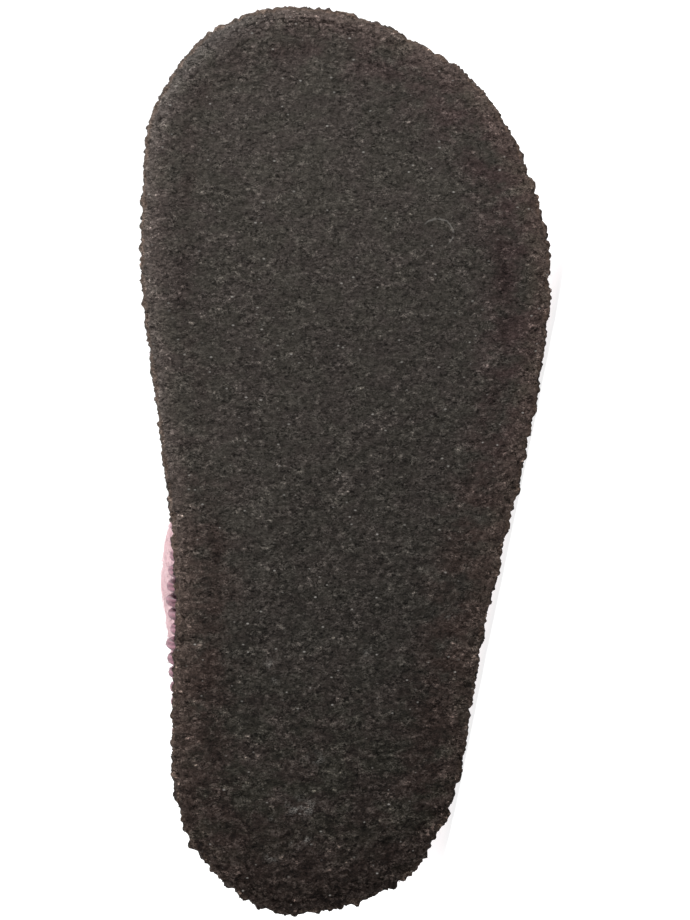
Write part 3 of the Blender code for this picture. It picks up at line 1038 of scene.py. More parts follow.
@dataclass(frozen=True)
class WoolFelt:
    """Thick felted wool: matted fibres, slightly clouded colour and a soft sheen.

    Attributes:
        name: Name of the finish.
        pink: The main colour.
        deep: Colour between the fibres.
        light: Colour of loose fibres on top.
        mat: How strongly the fibres stand out.
    """

    name: str
    pink: Colour
    deep: Colour
    light: Colour
    mat: float

    def material(self) -> bpy.types.Material:
        """Mixes the finish: clouds by broad noise, strands and fibres by warped noise, pills by cells.

        The mesh's own marks say where it is soiled and where its edge is worn to a lighter nap.

        Returns:
            The material.
        """
        paint = Paint(self.name)
        soil, worn = paint.mark("soil"), paint.mark("worn")
        at = paint.places()
        clouds = paint.noise(at, 14.0, 3.0, 0.6)
        strands = paint.noise(at, 3.0, 5.0, 0.72, 3.2)
        fibres = paint.noise(at, 1.1, 4.0, 0.70, 2.0)
        fuzz = paint.noise(at, 0.40, 3.0, 0.70, 0.8)
        pill_reach, pill_own = paint.cells(at, 2.6)
        pills = paint.between(pill_reach, 0.40, 0.12) * paint.between(pill_own, 0.60, 0.95)
        colour = paint.mixed(paint.between(clouds, 0.35, 0.70) * 0.55, self.pink, self.deep)
        colour = paint.mixed(paint.between(strands, 0.52, 0.66) * 0.55, colour, self.light)
        colour = paint.mixed(paint.between(strands, 0.46, 0.32) * 0.55, colour, self.deep)
        colour = paint.mixed(pills * 0.5, colour, self.light)
        colour = paint.mixed(soil * paint.between(strands, 0.64, 0.38) * 0.55, colour, self.deep)
        colour = paint.mixed(worn * paint.between(fibres, 0.36, 0.60) * 0.50, colour, self.light)
        colour = paint.scaled(colour, 0.72 + fibres * 0.36 + fuzz * 0.20)
        height = (strands * 0.66 + fibres * 0.42 + fuzz * 0.12 + pills * 0.20) * self.mat
        return paint.dress(
            {
                "Base Color": colour,
                "Roughness": 0.92,
                "Specular IOR Level": 0.18,
                "Sheen Weight": 0.30,
                "Sheen Roughness": 0.55,
                "Sheen Tint": (1.0, 0.86, 0.88, 1.0),
                "Normal": paint.bump(height),
            }
        )


@dataclass(frozen=True)
class WoolYarn:
    """Thick wool yarn of a few plies, which wind round it and carry short fibres.

    Attributes:
        lilac: The main colour.
        shadow: Colour between the plies.
        light: Colour of loose fibres on top.
        plies: How many plies it has.
    """

    lilac: Colour = (0.290, 0.148, 0.180)
    shadow: Colour = (0.140, 0.064, 0.084)
    light: Colour = (0.460, 0.310, 0.350)
    plies: float = 3.0

    def material(self) -> bpy.types.Material:
        """Mixes the finish: plies as sin(2 pi (plies v + u)) on the piece's own wrap.

        There v runs once round the yarn and u counts its twists.

        Returns:
            The material.
        """
        paint = Paint("lilac wool yarn")
        at = paint.places()
        wrap = paint.node("ShaderNodeUVMap", {"uv_map": "wrap"}, {})
        along = paint.node("ShaderNodeSeparateXYZ", {}, {0: wrap})
        phase = (along.beside(1) * self.plies + along) * FULL_TURN
        ply = paint.node("ShaderNodeMath", {"operation": "SINE"}, {0: phase})
        hairs = paint.noise(at, 0.55, 4.0, 0.70, 1.6)
        patches = paint.noise(at, 4.0, 2.0)
        colour = paint.mixed(paint.between(ply, 0.1, -1.0) * 0.85, self.lilac, self.shadow)
        colour = paint.mixed(paint.between(hairs, 0.52, 0.68) * 0.45, colour, self.light)
        colour = paint.scaled(colour, 0.66 + hairs * 0.40 + patches * 0.30)
        height = ply * 0.20 + hairs * 0.34
        return paint.dress(
            {
                "Base Color": colour,
                "Roughness": 0.90,
                "Specular IOR Level": 0.18,
                "Sheen Weight": 0.25,
                "Sheen Roughness": 0.5,
                "Normal": paint.bump(height),
            }
        )


@dataclass(frozen=True)
class LooseFibre:
    """Single wool fibres that stand off felt and yarn.

    Attributes:
        name: Name of the finish.
        root: Colour of the darker fibres.
        tip: Colour of the lighter ones.
    """

    name: str
    root: Colour
    tip: Colour

    def material(self) -> bpy.types.Material:
        """Mixes the finish: two colours in patches, since one fibre is too thin for a pattern of its own.

        Returns:
            The material.
        """
        paint = Paint(self.name)
        patch = paint.noise(paint.places(), 1.5, 2.0, 0.6)
        colour = paint.mixed(paint.between(patch, 0.35, 0.65), self.root, self.tip)
        return paint.dress({"Base Color": colour, "Roughness": 0.85, "Specular IOR Level": 0.2})


@dataclass(frozen=True)
class StudioPaper:
    """The white paper that the shoe lies on, lit a little from below as on a photographer's light table.

    Attributes:
        white: Its colour.
        shade: Colour of its mottling.
        glow: Strength of the light that comes through it.
    """

    white: Colour = (0.33, 0.33, 0.33)
    shade: Colour = (0.28, 0.28, 0.28)
    glow: float = 0.83

    def material(self) -> bpy.types.Material:
        """Mixes the finish: white with a trace of mottling.

        Returns:
            The material.
        """
        paint = Paint("studio paper")
        mottle = paint.noise(paint.places(), 240.0, 2.0)
        colour = paint.mixed(mottle * 0.06, self.white, self.shade)
        return paint.dress(
            {
                "Base Color": colour,
                "Roughness": 0.9,
                "Specular IOR Level": 0.05,
                "Emission Color": (1.0, 1.0, 1.0),
                "Emission Strength": self.glow,
            }
        )


# The shoe's pieces


@dataclass(frozen=True)
class RubberSole:
    """The sole of pressed rubber crumb.

    Attributes:
        shape: The shoe's shape.
        steps: Places on each side of its outline.
        below: Columns of its bottom face.
        tread_round: Radius of its lower edge.
        top_round: Radius of its upper edge.
        band: Width of the top's band that shows beside the seam.
        crumb: Size of a crumb.
        groove: Half width of the groove between two crumbs, as a share of a crumb.
        lump: Size of the lumps along its edge.
        lump_height: How far those lumps stand out.
        rim: How far in from the edge they fade.
        trough_at: Distance from the edge to the trough that runs inside it.
        trough_width: Half width of that trough.
        trough_depth: Its depth.
    """

    shape: ShoeShape
    steps: int = 460
    below: int = 140
    tread_round: float = 2.2
    top_round: float = 0.8
    band: float = 4.0
    crumb: float = 1.15
    groove: float = 0.14
    lump: float = 3.3
    lump_height: float = 1.0
    rim: float = 3.2
    trough_at: float = 8.0
    trough_width: float = 1.15
    trough_depth: float = 0.45

    # Where the trough is clearest: along and spread as shares of the length, side and strength.
    TROUGHS = (
        (0.65, 0.11, -1.0, 0.9),
        (0.96, 0.03, 1.0, 0.6),
        (0.37, 0.07, 1.0, 0.6),
        (0.83, 0.05, 1.0, 0.3),
    )
    # Worn pale specks: across, along and size, in millimetres.
    SPECKS = (
        (0.4, 20.3, 1.6),
        (-2.2, 20.1, 1.3),
        (3.0, 21.2, 0.8),
        (4.9, 17.8, 0.6),
        (0.6, 13.4, 0.9),
        (-1.6, 14.2, 0.6),
        (5.0, 10.7, 1.0),
        (-1.0, 29.6, 0.8),
        (-3.7, 29.3, 0.9),
        (5.2, 46.6, 0.9),
    )

    def profile(self) -> np.ndarray:
        """The edge from below upwards, with the band on top that reaches in under the felt."""
        edge = rounded_edge(self.shape.sole, self.tread_round, self.top_round, (9, 5, 3))
        insets = np.linspace(self.top_round, self.band, 7)[1:]
        flat = np.column_stack([insets, 0 * insets + self.shape.sole, 0 * insets, 0 * insets + 1.0])
        return np.vstack([edge, flat])

    def edge_distance(self, slab: Slab, surface: Surface) -> np.ndarray:
        """How far in plan each point lies inside the sole's edge."""
        around = 2 * slab.outline.steps
        banded = len(slab.profile) * around
        rows = np.repeat(slab.profile[:, 0], around)
        return np.concatenate([rows, slab.outline.distance(surface.points[banded:, :2])])

    def crumbs(self, warped: np.ndarray, rim: np.ndarray) -> tuple[np.ndarray, np.ndarray]:
        """Crumbs as domes 0.5 - r, with steps between them and grooves e^-(gap / groove)^2.

        Args:
            warped: The sole's places, each a little disturbed.
            rim: How near each is to the rim, where the crumbs are rougher.

        Returns:
            The height of the crumbs, and for each place its crumb's own random number.
        """
        reach, gap, own = Scatter(5).crumbs(warped, self.crumb)
        height = (0.5 - reach) * 0.36 + (own - 0.5) * 0.30 - 0.16 * hump(gap, 0.0, self.groove)
        return height * (1.0 + 0.7 * rim), own

    def knobs(self, places: np.ndarray, warped: np.ndarray, rim: np.ndarray) -> np.ndarray:
        """Broad lumps and smaller knots as domes, highest on the rim, at the heel and on the lateral side.

        Args:
            places: The sole's places.
            warped: The same, each a little disturbed.
            rim: How near each is to the rim.

        Returns:
            Their height.
        """
        reach, gap, own = Scatter(7).crumbs(places, self.lump)
        lumps = (0.55 - reach) + (own - 0.5) * 0.6 - 0.3 * hump(gap, 0.0, 0.2)
        reach, _, own = Scatter(9).crumbs(warped, self.lump * 0.62)
        lumps = 0.75 * lumps + 0.55 * ((0.5 - reach) + (own - 0.5) * 0.7)
        heel = ramp(places[:, 1] / self.shape.length, 0.22, 0.0)
        lateral = ramp(-places[:, 0], 5.0, 25.0)
        return lumps * self.lump_height * (0.14 + 0.86 * rim) * (0.55 + 0.55 * heel + 0.35 * lateral)

    def trough(self, places: np.ndarray, edge: np.ndarray) -> tuple[np.ndarray, np.ndarray, np.ndarray]:
        """The trough's wandering line and where it is clear: a bell for each row of TROUGHS.

        Args:
            places: The sole's places.
            edge: Distance of each from the edge.

        Returns:
            For each place its distance from the line, how clear the trough is, and how unbroken.
        """
        line = self.trough_at + 0.9 * Scatter(11).layered(places, 9.0, 3)
        clear = np.full(len(places), 0.22)
        for along, spread, side, strength in self.TROUGHS:
            bell = hump(places[:, 1] / self.shape.length, along, spread)
            clear += strength * bell * ramp(side * places[:, 0], -2.0, 8.0)
        return edge - line, clear, ramp(Scatter(13).layered(places, 7.0, 3), -0.45, 0.35)

    def worn(self, places: np.ndarray, raised: np.ndarray, own: np.ndarray) -> np.ndarray:
        """Where pale rubber shows: the specks as bells, and flakes at the middles of some wide cells.

        Args:
            places: The sole's places.
            raised: The same with their relief.
            own: For each place its crumb's own random number.

        Returns:
            How pale each place is, from 0 to 1.
        """
        pale = np.zeros(len(places))
        for across, ahead, size in self.SPECKS:
            pale += np.exp(-(((places[:, 0] - across) ** 2 + (places[:, 1] - ahead) ** 2) / size**2))
        reach, _, chance = Scatter(29).crumbs(raised, 5.5)
        flakes = ramp(chance, 0.86, 0.90) * ramp(reach, 0.17, 0.08)
        pale = pale * ramp(own, 0.45, 0.75) + flakes * 0.5 * ramp(own, 0.3, 0.6)
        return np.clip(pale, 0.0, 1.0)

    def relief(self, surface: Surface, edge: np.ndarray) -> dict[str, np.ndarray]:
        """Raises the crumbs, the knobs and broad swells, and sinks the trough and the rim's fall.

        The trough is a bell over the distance from its line, and the fall is (1 - edge / 6)^2.

        Args:
            surface: The sole's plain surface, whose points are moved.
            edge: Distance of each point from the edge.

        Returns:
            The marks that the finish reads.
        """
        places = surface.points
        downwards = surface.outward[:, 2] < -0.9
        low = ramp(places[:, 2] - self.shape.bottom(places[:, :2]), 3.2, 1.6)
        rim = hump(edge, 0.0, self.rim)
        shifts = np.column_stack([Scatter(seed).swells(places, 0.9) for seed in (21, 22, 23)])
        warped = places + 0.35 * shifts
        crumbs, own = self.crumbs(warped, rim)
        off_line, clear, unbroken = self.trough(places, edge)
        trough = hump(off_line, 0.0, self.trough_width) * clear * unbroken * downwards
        fall = np.clip(1.0 - edge / 6.0, 0.0, 1.0) ** 2 * downwards
        swells = 0.14 * Scatter(17).layered(places, 13.0, 2) * np.minimum(1.0, edge / 4.0)
        height = crumbs + self.knobs(places, warped, rim) + swells
        surface.raise_by(height - trough * self.trough_depth - fall * 0.30)
        # The finish paints light from along and inner, lighter towards the toe and on the medial side, and
        # paints shade into the trough from trough.
        return {
            "edge": edge,
            "low": low,
            "inner": places[:, 0] / 30.0,
            "trough": np.clip(hump(off_line, 0.0, 1.6) * clear * (0.25 + 0.75 * unbroken), 0.0, 1.0),
            "along": places[:, 1] / self.shape.length,
            "pale": self.worn(places, surface.points, own) * downwards,
        }

    def build(self, bench: Workbench, finish: bpy.types.Material) -> bpy.types.Object:
        """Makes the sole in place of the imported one.

        Args:
            bench: The workbench.
            finish: Its rubber.

        Returns:
            The sole.
        """
        slab = Slab(self.shape, self.shape.outline(self.steps), self.profile(), self.below, 10)
        surface = slab.surface()
        marks = self.relief(surface, self.edge_distance(slab, surface))
        piece = bench.piece("crumb_sole", surface, finish, Slot.RUBBER, marks)
        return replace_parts(piece, "outsole")


@dataclass(frozen=True)
class Crease:
    """One soft crease of the felt, a trough with a low ridge on each side.

    Attributes:
        start: Where it starts: share round the sole and share up the rib.
        end: Where it ends.
        width: Half width, in millimetres.
        depth: Depth, in millimetres.
        sag: How far up its middle bows, as a share of the rib.
    """

    start: tuple[float, float]
    end: tuple[float, float]
    width: float
    depth: float
    sag: float = 0.0


@dataclass(frozen=True)
class FeltUpper:
    """The upper, one shell of thick felt.

    Attributes:
        shape: The shoe's shape.
        stitches: How many stitches hold it, each of which dimples its lower edge.
        samples: Places round the felt for each stitch.
        rows_up: Rows of the outer face.
        rows_down: Rows of the inner face.
        wall: Thickness of the felt.
        lip: How far its rounded topline rises.
        soil_reach: How far up from the sole it is soiled.
        worn_reach: How far from the topline its nap is worn.
    """

    shape: ShoeShape
    stitches: int
    samples: int = 6
    rows_up: int = 58
    rows_down: int = 30
    wall: float = 3.0
    lip: float = 1.1
    soil_reach: float = 5.0
    worn_reach: float = 3.5

    # Where the felt swells a little more over the waist: along, spread and how far.
    WAIST = (0.380, 0.065, 0.55)
    CREASES = (
        Crease((0.405, 0.62), (0.590, 0.60), 2.6, 1.10, 0.05),
        Crease((0.380, 0.48), (0.610, 0.46), 3.0, 0.91, 0.07),
        Crease((0.440, 0.78), (0.560, 0.78), 2.4, 0.72, 0.03),
        Crease((0.325, 0.20), (0.365, 0.72), 3.2, 1.04, 0.0),
        Crease((0.655, 0.18), (0.635, 0.70), 3.2, 1.04, 0.0),
        Crease((0.045, 0.30), (0.130, 0.62), 3.4, 0.78, 0.0),
        Crease((0.955, 0.32), (0.880, 0.60), 3.4, 0.78, 0.0),
        Crease((0.965, 0.74), (0.045, 0.76), 3.0, 0.65, -0.03),
        Crease((0.215, 0.35), (0.262, 0.80), 3.0, 0.72, 0.0),
        Crease((0.780, 0.33), (0.735, 0.78), 3.0, 0.72, 0.0),
    )

    def creased(self, outline: Outline, points: np.ndarray) -> np.ndarray:
        """How far the creases move each point: -depth e^-(d/w)^2 + 0.45 depth e^-((d - 1.9 w)/w)^2.

        Args:
            outline: The outline that the felt stands on.
            points: The felt's places.

        Returns:
            The height for each place, d being its distance from the crease's line on the felt.
        """
        height = np.zeros(len(points))
        travel = np.linspace(0.0, 1.0, 36)
        for crease in self.CREASES:
            turn = (crease.end[0] - crease.start[0] + 0.5) % 1.0 - 0.5
            around = (crease.start[0] + turn * travel) % 1.0
            ups = crease.start[1] + (crease.end[1] - crease.start[1]) * travel
            ups = ups + crease.sag * np.sin(math.pi * travel)
            columns = np.round(around * 2 * outline.steps).astype(int) % (2 * outline.steps)
            face = self.shape.upper_face(outline, ups)
            line = face[np.arange(len(travel)), columns]
            gaps = np.linalg.norm(points[:, None] - line[None], axis=2)
            nearest = gaps.argmin(axis=1)
            distance = gaps[np.arange(len(points)), nearest]
            fade = np.sin(math.pi * (0.06 + 0.88 * travel[nearest]))
            trough = hump(distance, 0.0, crease.width)
            ridge = 0.45 * hump(distance, 1.9 * crease.width, crease.width)
            height += crease.depth * fade * (ridge - trough)
        return height

    def outer_face(self) -> tuple[np.ndarray, np.ndarray]:
        """The felt's outer face with its creases, soft lumps and the tuck that each stitch pulls in.

        The tuck is e^-(h / 3.4)^2 (0.35 + 0.28 cos p), h the height over the sole and p a full turn for
        each stitch.

        Returns:
            Rows of points from the sole to the topline, and the direction outwards at each.
        """
        outline = self.shape.outline(self.stitches * self.samples // 2)
        even = np.linspace(0.0, 1.0, self.rows_up)
        ups = even - 0.09 * np.sin(FULL_TURN * even)
        outer = self.shape.upper_face(outline, ups)
        round_way = np.roll(outer, -1, axis=1) - np.roll(outer, 1, axis=1)
        normals = np.cross(round_way, np.gradient(outer, axis=0))
        normals[0, :, 2] = 0.0
        normals = unit(normals)

        flat = outer.reshape(-1, 3)
        height = self.creased(outline, flat)
        waist = self.WAIST[2] * np.tile(self.shape.medial_swell(outline, *self.WAIST[:2]), self.rows_up)
        lumps = 0.42 * Scatter(31).layered(flat, 11.0, 3) + 0.14 * Scatter(33).swells(flat, 2.4)
        height += lumps * np.repeat(1.0 - 0.75 * ramp(even, 0.80, 1.0), outer.shape[1]) + waist
        phase = FULL_TURN * self.stitches * np.tile(outline.shares(), self.rows_up)
        tuck = hump(self.shape.over_sole(flat), 0.0, 3.4)
        height -= tuck * (0.35 + 0.28 * np.cos(phase))
        height *= np.minimum(1.0, 0.25 + np.repeat(ups, outer.shape[1]) * 14.0)
        return outer + (normals.reshape(-1, 3) * height[:, None]).reshape(outer.shape), normals

    def build(
        self, bench: Workbench, finish: bpy.types.Material, outer: np.ndarray, normals: np.ndarray
    ) -> bpy.types.Object:
        """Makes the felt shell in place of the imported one: outer face, rounded lip and inner face.

        Args:
            bench: The workbench.
            finish: Its felt.
            outer: Rows of the outer face.
            normals: The direction outwards at each point.

        Returns:
            The upper.
        """
        around = outer.shape[1]
        picks = np.unique(np.round(np.linspace(self.rows_up - 1, 0, self.rows_down)).astype(int))[::-1]
        thick = self.wall + 0.25 * Scatter(37).layered(outer[picks].reshape(-1, 3), 8.0, 2)
        inner = outer[picks] - normals[picks] * thick.reshape(len(picks), around, 1)
        inner[-1, :, 2] = outer[0, :, 2]
        up_way = unit(outer[-1] - outer[-2])
        middle = (outer[-1] + inner[0]) / 2.0
        half = (outer[-1] - inner[0]) / 2.0
        turns = np.linspace(0.0, math.pi, 7)[1:-1, None, None]
        lip = middle + half * np.cos(turns) + up_way * self.lip * np.sin(turns)
        grid = np.concatenate([outer, lip, inner])
        surface = Surface.of_quads(grid, grid_quads(len(grid), around, closed_rows=True))
        piece = bench.piece("felt_upper", surface, finish, Slot.FELT, self.wear(grid))
        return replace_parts(piece, "upper")

    def wear(self, grid: np.ndarray) -> dict[str, np.ndarray]:
        """Where the felt is soiled, as e^-(h / reach), and worn, as e^-(d / reach)^2.

        Args:
            grid: All rows of the shell, of which the middle one of the lip is the topline.

        Returns:
            The marks that the finish reads. h is the height over the sole and d the way to the topline. The
            medial waist is left clean, as the photo shows it.
        """
        flat = grid.reshape(-1, 3)
        height = np.clip(self.shape.over_sole(flat), 0.0, None)
        clean_waist = hump(flat[:, 1] / self.shape.length, 0.38, 0.14) * (flat[:, 0] > 0.0)
        away = np.linalg.norm(grid - grid[self.rows_up + 2], axis=2).ravel()
        soil = np.exp(-height / self.soil_reach) * (1.0 - clean_waist)
        return {"soil": soil, "worn": hump(away, 0.0, self.worn_reach)}


@dataclass(frozen=True)
class LooseWool:
    """Short fibres that stand off a woolly surface, all in one mesh.

    Attributes:
        name: Name of the piece.
        slot: The record's slot that it belongs to.
        count: How many fibres there are.
        length: Length of a middling one, in millimetres.
        rise: How far its tip stands off.
        radius: Radius at its root.
        seed: Which of the many scatterings it is.
    """

    name: str
    slot: Slot
    count: int
    length: float
    rise: float
    radius: float
    seed: int

    RINGS = 3
    SIDES = 3

    def roots(self, face: np.ndarray, normals: np.ndarray) -> tuple[np.ndarray, np.ndarray]:
        """Scatters the roots over a grid evenly by area: a cell is picked in proportion to its size.

        Args:
            face: Rows of points, whose columns close round.
            normals: The direction outwards at each.

        Returns:
            The roots and the directions outwards there.
        """
        chance = np.random.default_rng(self.seed)
        here, beside = face[:-1], np.roll(face, -1, axis=1)[:-1]
        above = face[1:]
        sizes = np.linalg.norm(np.cross(beside - here, above - here), axis=2).ravel()
        picks = np.searchsorted(np.cumsum(sizes) / sizes.sum(), chance.random(self.count))
        shares = chance.random((2, self.count, 1))
        first = here.reshape(-1, 3)[picks]
        aside = beside.reshape(-1, 3)[picks] - first
        upward = above.reshape(-1, 3)[picks] - first
        return first + aside * shares[0] + upward * shares[1], normals[:-1].reshape(-1, 3)[picks]

    def build(
        self, bench: Workbench, finish: bpy.types.Material, face: np.ndarray, normals: np.ndarray
    ) -> bpy.types.Object:
        """Makes the fibres: each a three-sided tube along root + L (t s + b s^2) + n rise s^1.4, tapering.

        Those that would reach through the floor are left out.

        Args:
            bench: The workbench.
            finish: Their wool.
            face: Rows of points of the surface that they stand on.
            normals: The direction outwards at each.

        Returns:
            The fibres.
        """
        chance = np.random.default_rng(self.seed + 1)
        root, out = self.roots(face, normals)
        loose = chance.normal(size=(self.count, 3))
        along = unit(np.cross(out, loose))
        aside = np.cross(out, along)
        length = self.length * (0.5 + chance.random(self.count))[:, None]
        bend = chance.normal(scale=0.45, size=(self.count, 1))
        rise = self.rise * chance.random((self.count, 1)) ** 1.5
        share = (np.arange(self.RINGS + 1) / self.RINGS)[:, None, None]
        spine = root + length * (along * share + aside * bend * share**2) + out * rise * share**1.4
        spine -= out * self.radius
        free = (bench.place.laid(spine)[:, :, 2] > self.radius * MM).all(axis=0)
        spine, aside, out = spine[:, free], aside[free], out[free]
        count = int(free.sum())
        taper = np.linspace(1.0, 0.55, self.RINGS)[:, None, None, None] * self.radius
        ring = spokes(aside, out, self.SIDES)
        tubes = (spine[:-1, :, None] + ring[None] * taper).transpose(1, 0, 2, 3).reshape(count, -1, 3)
        points = np.concatenate([tubes, spine[-1][:, None]], axis=1)
        each = points.shape[1]
        first = each * np.arange(count)[:, None, None]
        quads = first + grid_quads(self.RINGS, self.SIDES, closed_rows=False)[None, :, ::-1]
        last = (self.RINGS - 1) * self.SIDES + np.arange(self.SIDES)
        tip = np.column_stack([np.roll(last, -1), last, np.full(self.SIDES, each - 1)])
        triangles = first + np.vstack([tip, [[0, 1, 2]]])[None]
        flat = points.reshape(-1, 3)
        surface = Surface(flat, flat, quads.reshape(-1, 4), triangles.reshape(-1, 3))
        return bench.piece(self.name, surface, finish, self.slot, {})


@dataclass(frozen=True)
class SeamYarn:
    """The yarn that whips the felt to the sole, wound round the corner between them.

    Attributes:
        shape: The shoe's shape.
        stitches: How many stitches there are.
        samples: Cross rows for each stitch.
        sides: Sides of the yarn.
        radius: Radius of the yarn.
        out: How far a loop swings out from the seam's line.
        up: How far it swings up and down.
        inward: How far inside the seam's ring the loops' middle lies.
        height: How far over the sole's top it lies.
        twist: Length in which its plies turn once round.
    """

    shape: ShoeShape
    stitches: int
    samples: int = 14
    sides: int = 8
    radius: float = 0.80
    out: float = 1.0
    up: float = 1.7
    inward: float = 0.4
    height: float = 1.5
    twist: float = 5.0

    # Where the medial seam is pulled in or let out: along and spread as shares of the length, and how far.
    PULLS = ((0.319, 0.012, 1.15), (0.335, 0.080, -0.50))

    def wraps(self, middle: np.ndarray) -> np.ndarray:
        """The wrap (u, v) at each face's corners: u is the length so far in twists, v the share round.

        Args:
            middle: The yarn's middle line.

        Returns:
            Four corners for each face, in the order of the faces.
        """
        length = np.concatenate([[0.0], np.cumsum(np.linalg.norm(np.diff(middle, axis=0), axis=1))])
        twists = length / self.twist
        low, pitch = np.repeat(twists, self.sides), twists[1]
        columns = np.tile(np.arange(self.sides), len(middle))
        return np.stack(
            [
                np.column_stack([low + pitch * ahead, (columns + aside) / self.sides])
                for ahead, aside in ((0, 0), (0, 1), (1, 1), (1, 0))
            ],
            axis=1,
        )

    def build(
        self, bench: Workbench, finish: bpy.types.Material
    ) -> tuple[bpy.types.Object, np.ndarray, np.ndarray]:
        """Makes one closed yarn: middle = seam + (out cos p, up sin p), p turning once for each stitch.

        Args:
            bench: The workbench.
            finish: Its wool.

        Returns:
            The yarn, its rows of points and the direction outwards at each.
        """
        outline = self.shape.outline(self.stitches * self.samples // 2)
        shares = outline.shares()
        count = len(shares)
        pulled = sum(far * self.shape.medial_swell(outline, at, spread) for at, spread, far in self.PULLS)
        seam = self.shape.raised(outline.inset(self.shape.seam_inset(outline) + self.inward + pulled), 0.0)
        seam[:, 2] += self.shape.sole + self.height
        uneven = Scatter(41).swells(seam, 3.4)
        phase = FULL_TURN * self.stitches * shares + 0.35 * uneven
        swing = 1.0 + 0.10 * Scatter(43).swells(seam, 4.0)
        radial = np.column_stack([outline.outward * np.cos(phase)[:, None], np.sin(phase)])
        middle = seam + np.column_stack(
            [
                outline.outward * (self.out * swing * np.cos(phase))[:, None],
                self.up * swing * np.sin(phase),
            ]
        )
        travel = unit(np.roll(middle, -1, axis=0) - np.roll(middle, 1, axis=0))
        across = unit(np.cross(travel, radial))
        thick = self.radius * (1.0 + 0.07 * Scatter(47).swells(middle, 1.8))
        ring = spokes(np.cross(across, travel), across, self.sides)
        points = middle[:, None] + ring * thick[:, None, None]
        surface = Surface.of_quads(points, grid_quads(count, self.sides, closed_rows=True))
        piece = bench.piece("seam_stitches", surface, finish, Slot.YARN, {}, self.wraps(middle))
        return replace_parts(piece, "seam_yarn"), points, ring


@dataclass(frozen=True)
class FeltSock:
    """The felt sock inside, under the foot.

    Attributes:
        shape: The shoe's shape.
        wall: Thickness of the upper's felt.
        thickness: Its own thickness.
        edge_round: Radius of its edges.
        steps: Places on each side.
        columns: Columns of its top.
        dish: How deep heel and ball have pressed it.
    """

    shape: ShoeShape
    wall: float = 3.0
    thickness: float = 2.5
    edge_round: float = 0.7
    steps: int = 150
    columns: int = 44
    dish: float = 0.45

    def build(self, bench: Workbench, finish: bpy.types.Material) -> bpy.types.Object:
        """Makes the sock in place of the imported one, dished a little under heel and ball.

        Args:
            bench: The workbench.
            finish: Its felt.

        Returns:
            The sock.
        """
        outline = self.shape.outline(self.steps)
        inset = self.shape.felt_inset(outline) + self.wall + self.shape.gap
        inner = Outline(outline.inset(inset), outline.outward, self.steps)
        profile = rounded_edge(self.thickness, self.edge_round, self.edge_round, (2, 2, 3))
        profile[:, 1] += self.shape.sole + self.shape.gap
        surface = Slab(self.shape, inner, profile, 10, self.columns).surface()
        along = surface.points[:, 1] / self.shape.length
        upward = surface.outward[:, 2] > 0.9
        middle = ramp(inner.distance(surface.points[:, :2]), 2.0, 12.0)
        pressed = (hump(along, 0.17, 0.12) + hump(along, 0.70, 0.14)) * middle
        rough = 0.16 * Scatter(51).layered(surface.points, 6.0, 3)
        marks = {"soil": np.clip(pressed, 0.0, 1.0), "worn": 0.0 * pressed}
        surface.raise_by((rough - self.dish * pressed) * upward)
        piece = bench.piece("felt_sock", surface, finish, Slot.SOCK, marks)
        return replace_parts(piece, "insole")


# The studio


@dataclass(frozen=True)
class SoftBox:
    """One soft light.

    Attributes:
        name: Its name.
        at: Its place in the scene, in metres.
        towards: The place that it faces.
        width: Its width, in metres.
        power: Its power, in watts.
    """

    name: str
    at: tuple[float, float, float]
    towards: tuple[float, float, float]
    width: float
    power: float

    def build(self) -> None:
        """Hangs the light, square and facing its target."""
        lamp = bpy.data.lights.new(self.name, "AREA")
        lamp.shape = "SQUARE"
        lamp.size = self.width
        lamp.energy = self.power
        holder = linked(self.name, lamp)
        holder.location = self.at
        holder.rotation_euler = (Vector(self.towards) - Vector(self.at)).to_track_quat("-Z", "Y").to_euler()


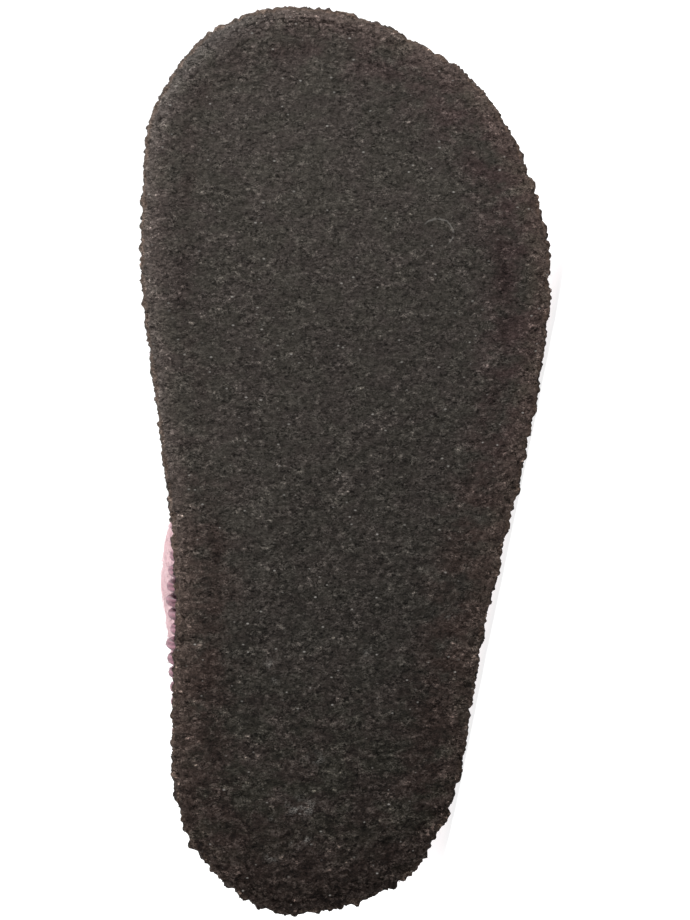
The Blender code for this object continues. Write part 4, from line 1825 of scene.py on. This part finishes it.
@dataclass(frozen=True)
class Studio:
    """Camera, paper and lights.

    Attributes:
        place: Where the shoe lies.
        across: The shoe's x at the middle of the picture, in millimetres.
        along: The shoe's y there.
        depth: Height over the sole's flat of the plane that is measured.
        reach: Distance of the camera from that plane.
        seen: How much of the shoe's length the picture's height takes in.
        paper_radius: Radius of the paper, in metres.
        sky: Strength of the even light all round.
    """

    place: ShoeFrame
    across: float = -8.79
    along: float = 84.96
    depth: float = 2.5
    reach: float = 1000.0
    seen: float = 172.06
    paper_radius: float = 80.0
    sky: float = 0.85

    SENSOR = 36.0
    PAPER_SIDES = 96
    PAPER_RINGS = 12

    LIGHTS = (
        SoftBox("overhead", (0.1, -0.3, 1.6), (0.0, 0.0, 0.0), 1.6, 12.0),
        SoftBox("toe_side", (0.80, -0.55, 0.60), (0.03, -0.03, 0.04), 0.40, 13.0),
        SoftBox("behind", (-0.75, 0.85, 0.90), (0.0, 0.0, 0.03), 0.35, 9.0),
    )

    def camera(self) -> None:
        """Stands the camera square to the sole: its right is the shoe's -x, its up y, its back -z."""
        spot = np.array([[self.across, self.along, self.depth - self.reach]])
        turn = np.column_stack([-self.place.turn[0], self.place.turn[1], -self.place.turn[2]])
        matrix = Matrix(turn.tolist()).to_4x4()
        matrix.translation = Vector(self.place.laid(spot)[0])
        lens = bpy.data.cameras.new("camera")
        lens.sensor_width = self.SENSOR
        lens.lens = self.SENSOR * self.reach / self.seen
        lens.clip_start = 0.05
        lens.clip_end = 400.0
        holder = linked("camera", lens)
        holder.matrix_world = matrix
        bpy.context.scene.camera = holder

    def paper(self) -> None:
        """Lays the round paper on the floor: rings whose radius grows by the cube of their share."""
        around = self.PAPER_SIDES
        turns = FULL_TURN * np.arange(around) / around
        radii = self.paper_radius * (np.arange(1, self.PAPER_RINGS + 1) / self.PAPER_RINGS) ** 3
        ring = np.column_stack([np.cos(turns), np.sin(turns), 0.0 * turns])
        points = np.vstack([[[0.0, 0.0, 0.0]], (radii[:, None, None] * ring[None]).reshape(-1, 3)])
        first = 1 + np.arange(around)
        fan = np.column_stack([np.zeros(around, int), first, np.roll(first, -1)])
        quads = 1 + grid_quads(len(radii), around, closed_rows=False)[:, ::-1]
        mesh = bpy.data.meshes.new("paper")
        mesh.from_pydata(points.tolist(), [], fan.tolist() + quads.tolist())
        mesh.shade_smooth()
        mesh.materials.append(StudioPaper().material())
        linked("paper", mesh)

    def build(self) -> None:
        """Sets up the whole studio."""
        self.camera()
        self.paper()
        for soft_box in self.LIGHTS:
            soft_box.build()
        world = bpy.data.worlds.new("studio")
        world.use_nodes = True
        light = world.node_tree.nodes["Background"].inputs
        light["Color"].default_value = (1.0, 1.0, 1.0, 1.0)
        light["Strength"].default_value = self.sky
        bpy.context.scene.world = world
        bpy.context.scene.view_settings.view_transform = "Standard"
        bpy.context.scene.view_settings.look = "None"


def main() -> None:
    """Builds the studio and the shoe's pieces in order."""
    logging.basicConfig(level=logging.INFO, format="%(name)s %(message)s")
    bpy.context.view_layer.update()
    place = ShoeFrame.from_record(frame["record"])
    shape = ShoeShape()
    bench = Workbench(place)

    Studio(place).build()
    RubberSole(shape).build(bench, CrumbRubber.laid(place).material())

    felt = WoolFelt(
        name="pale pink wool felt",
        pink=(0.610, 0.395, 0.420),
        deep=(0.440, 0.250, 0.290),
        light=(0.760, 0.590, 0.605),
        mat=1.0,
    )
    upper = FeltUpper(shape, STITCHES)
    face, outward = upper.outer_face()
    upper.build(bench, felt.material(), face, outward)
    fuzz = LooseWool("felt_fuzz", Slot.FELT, count=12000, length=3.2, rise=1.2, radius=0.055, seed=61)
    pink = LooseFibre("loose pink wool", root=(0.640, 0.430, 0.460), tip=(0.800, 0.650, 0.665))
    fuzz.build(bench, pink.material(), face, outward)

    _, rows, around = SeamYarn(shape, STITCHES).build(bench, WoolYarn().material())
    hairs = LooseWool("yarn_hairs", Slot.YARN, count=6000, length=1.5, rise=0.8, radius=0.045, seed=71)
    lilac = LooseFibre("loose lilac wool", root=(0.280, 0.165, 0.195), tip=(0.500, 0.360, 0.400))
    hairs.build(bench, lilac.material(), rows, around)

    sock = WoolFelt(
        name="sock felt",
        pink=(0.640, 0.450, 0.480),
        deep=(0.500, 0.330, 0.370),
        light=(0.760, 0.610, 0.620),
        mat=0.7,
    )
    FeltSock(shape).build(bench, sock.material())


if __name__ == "__main__":
    main()
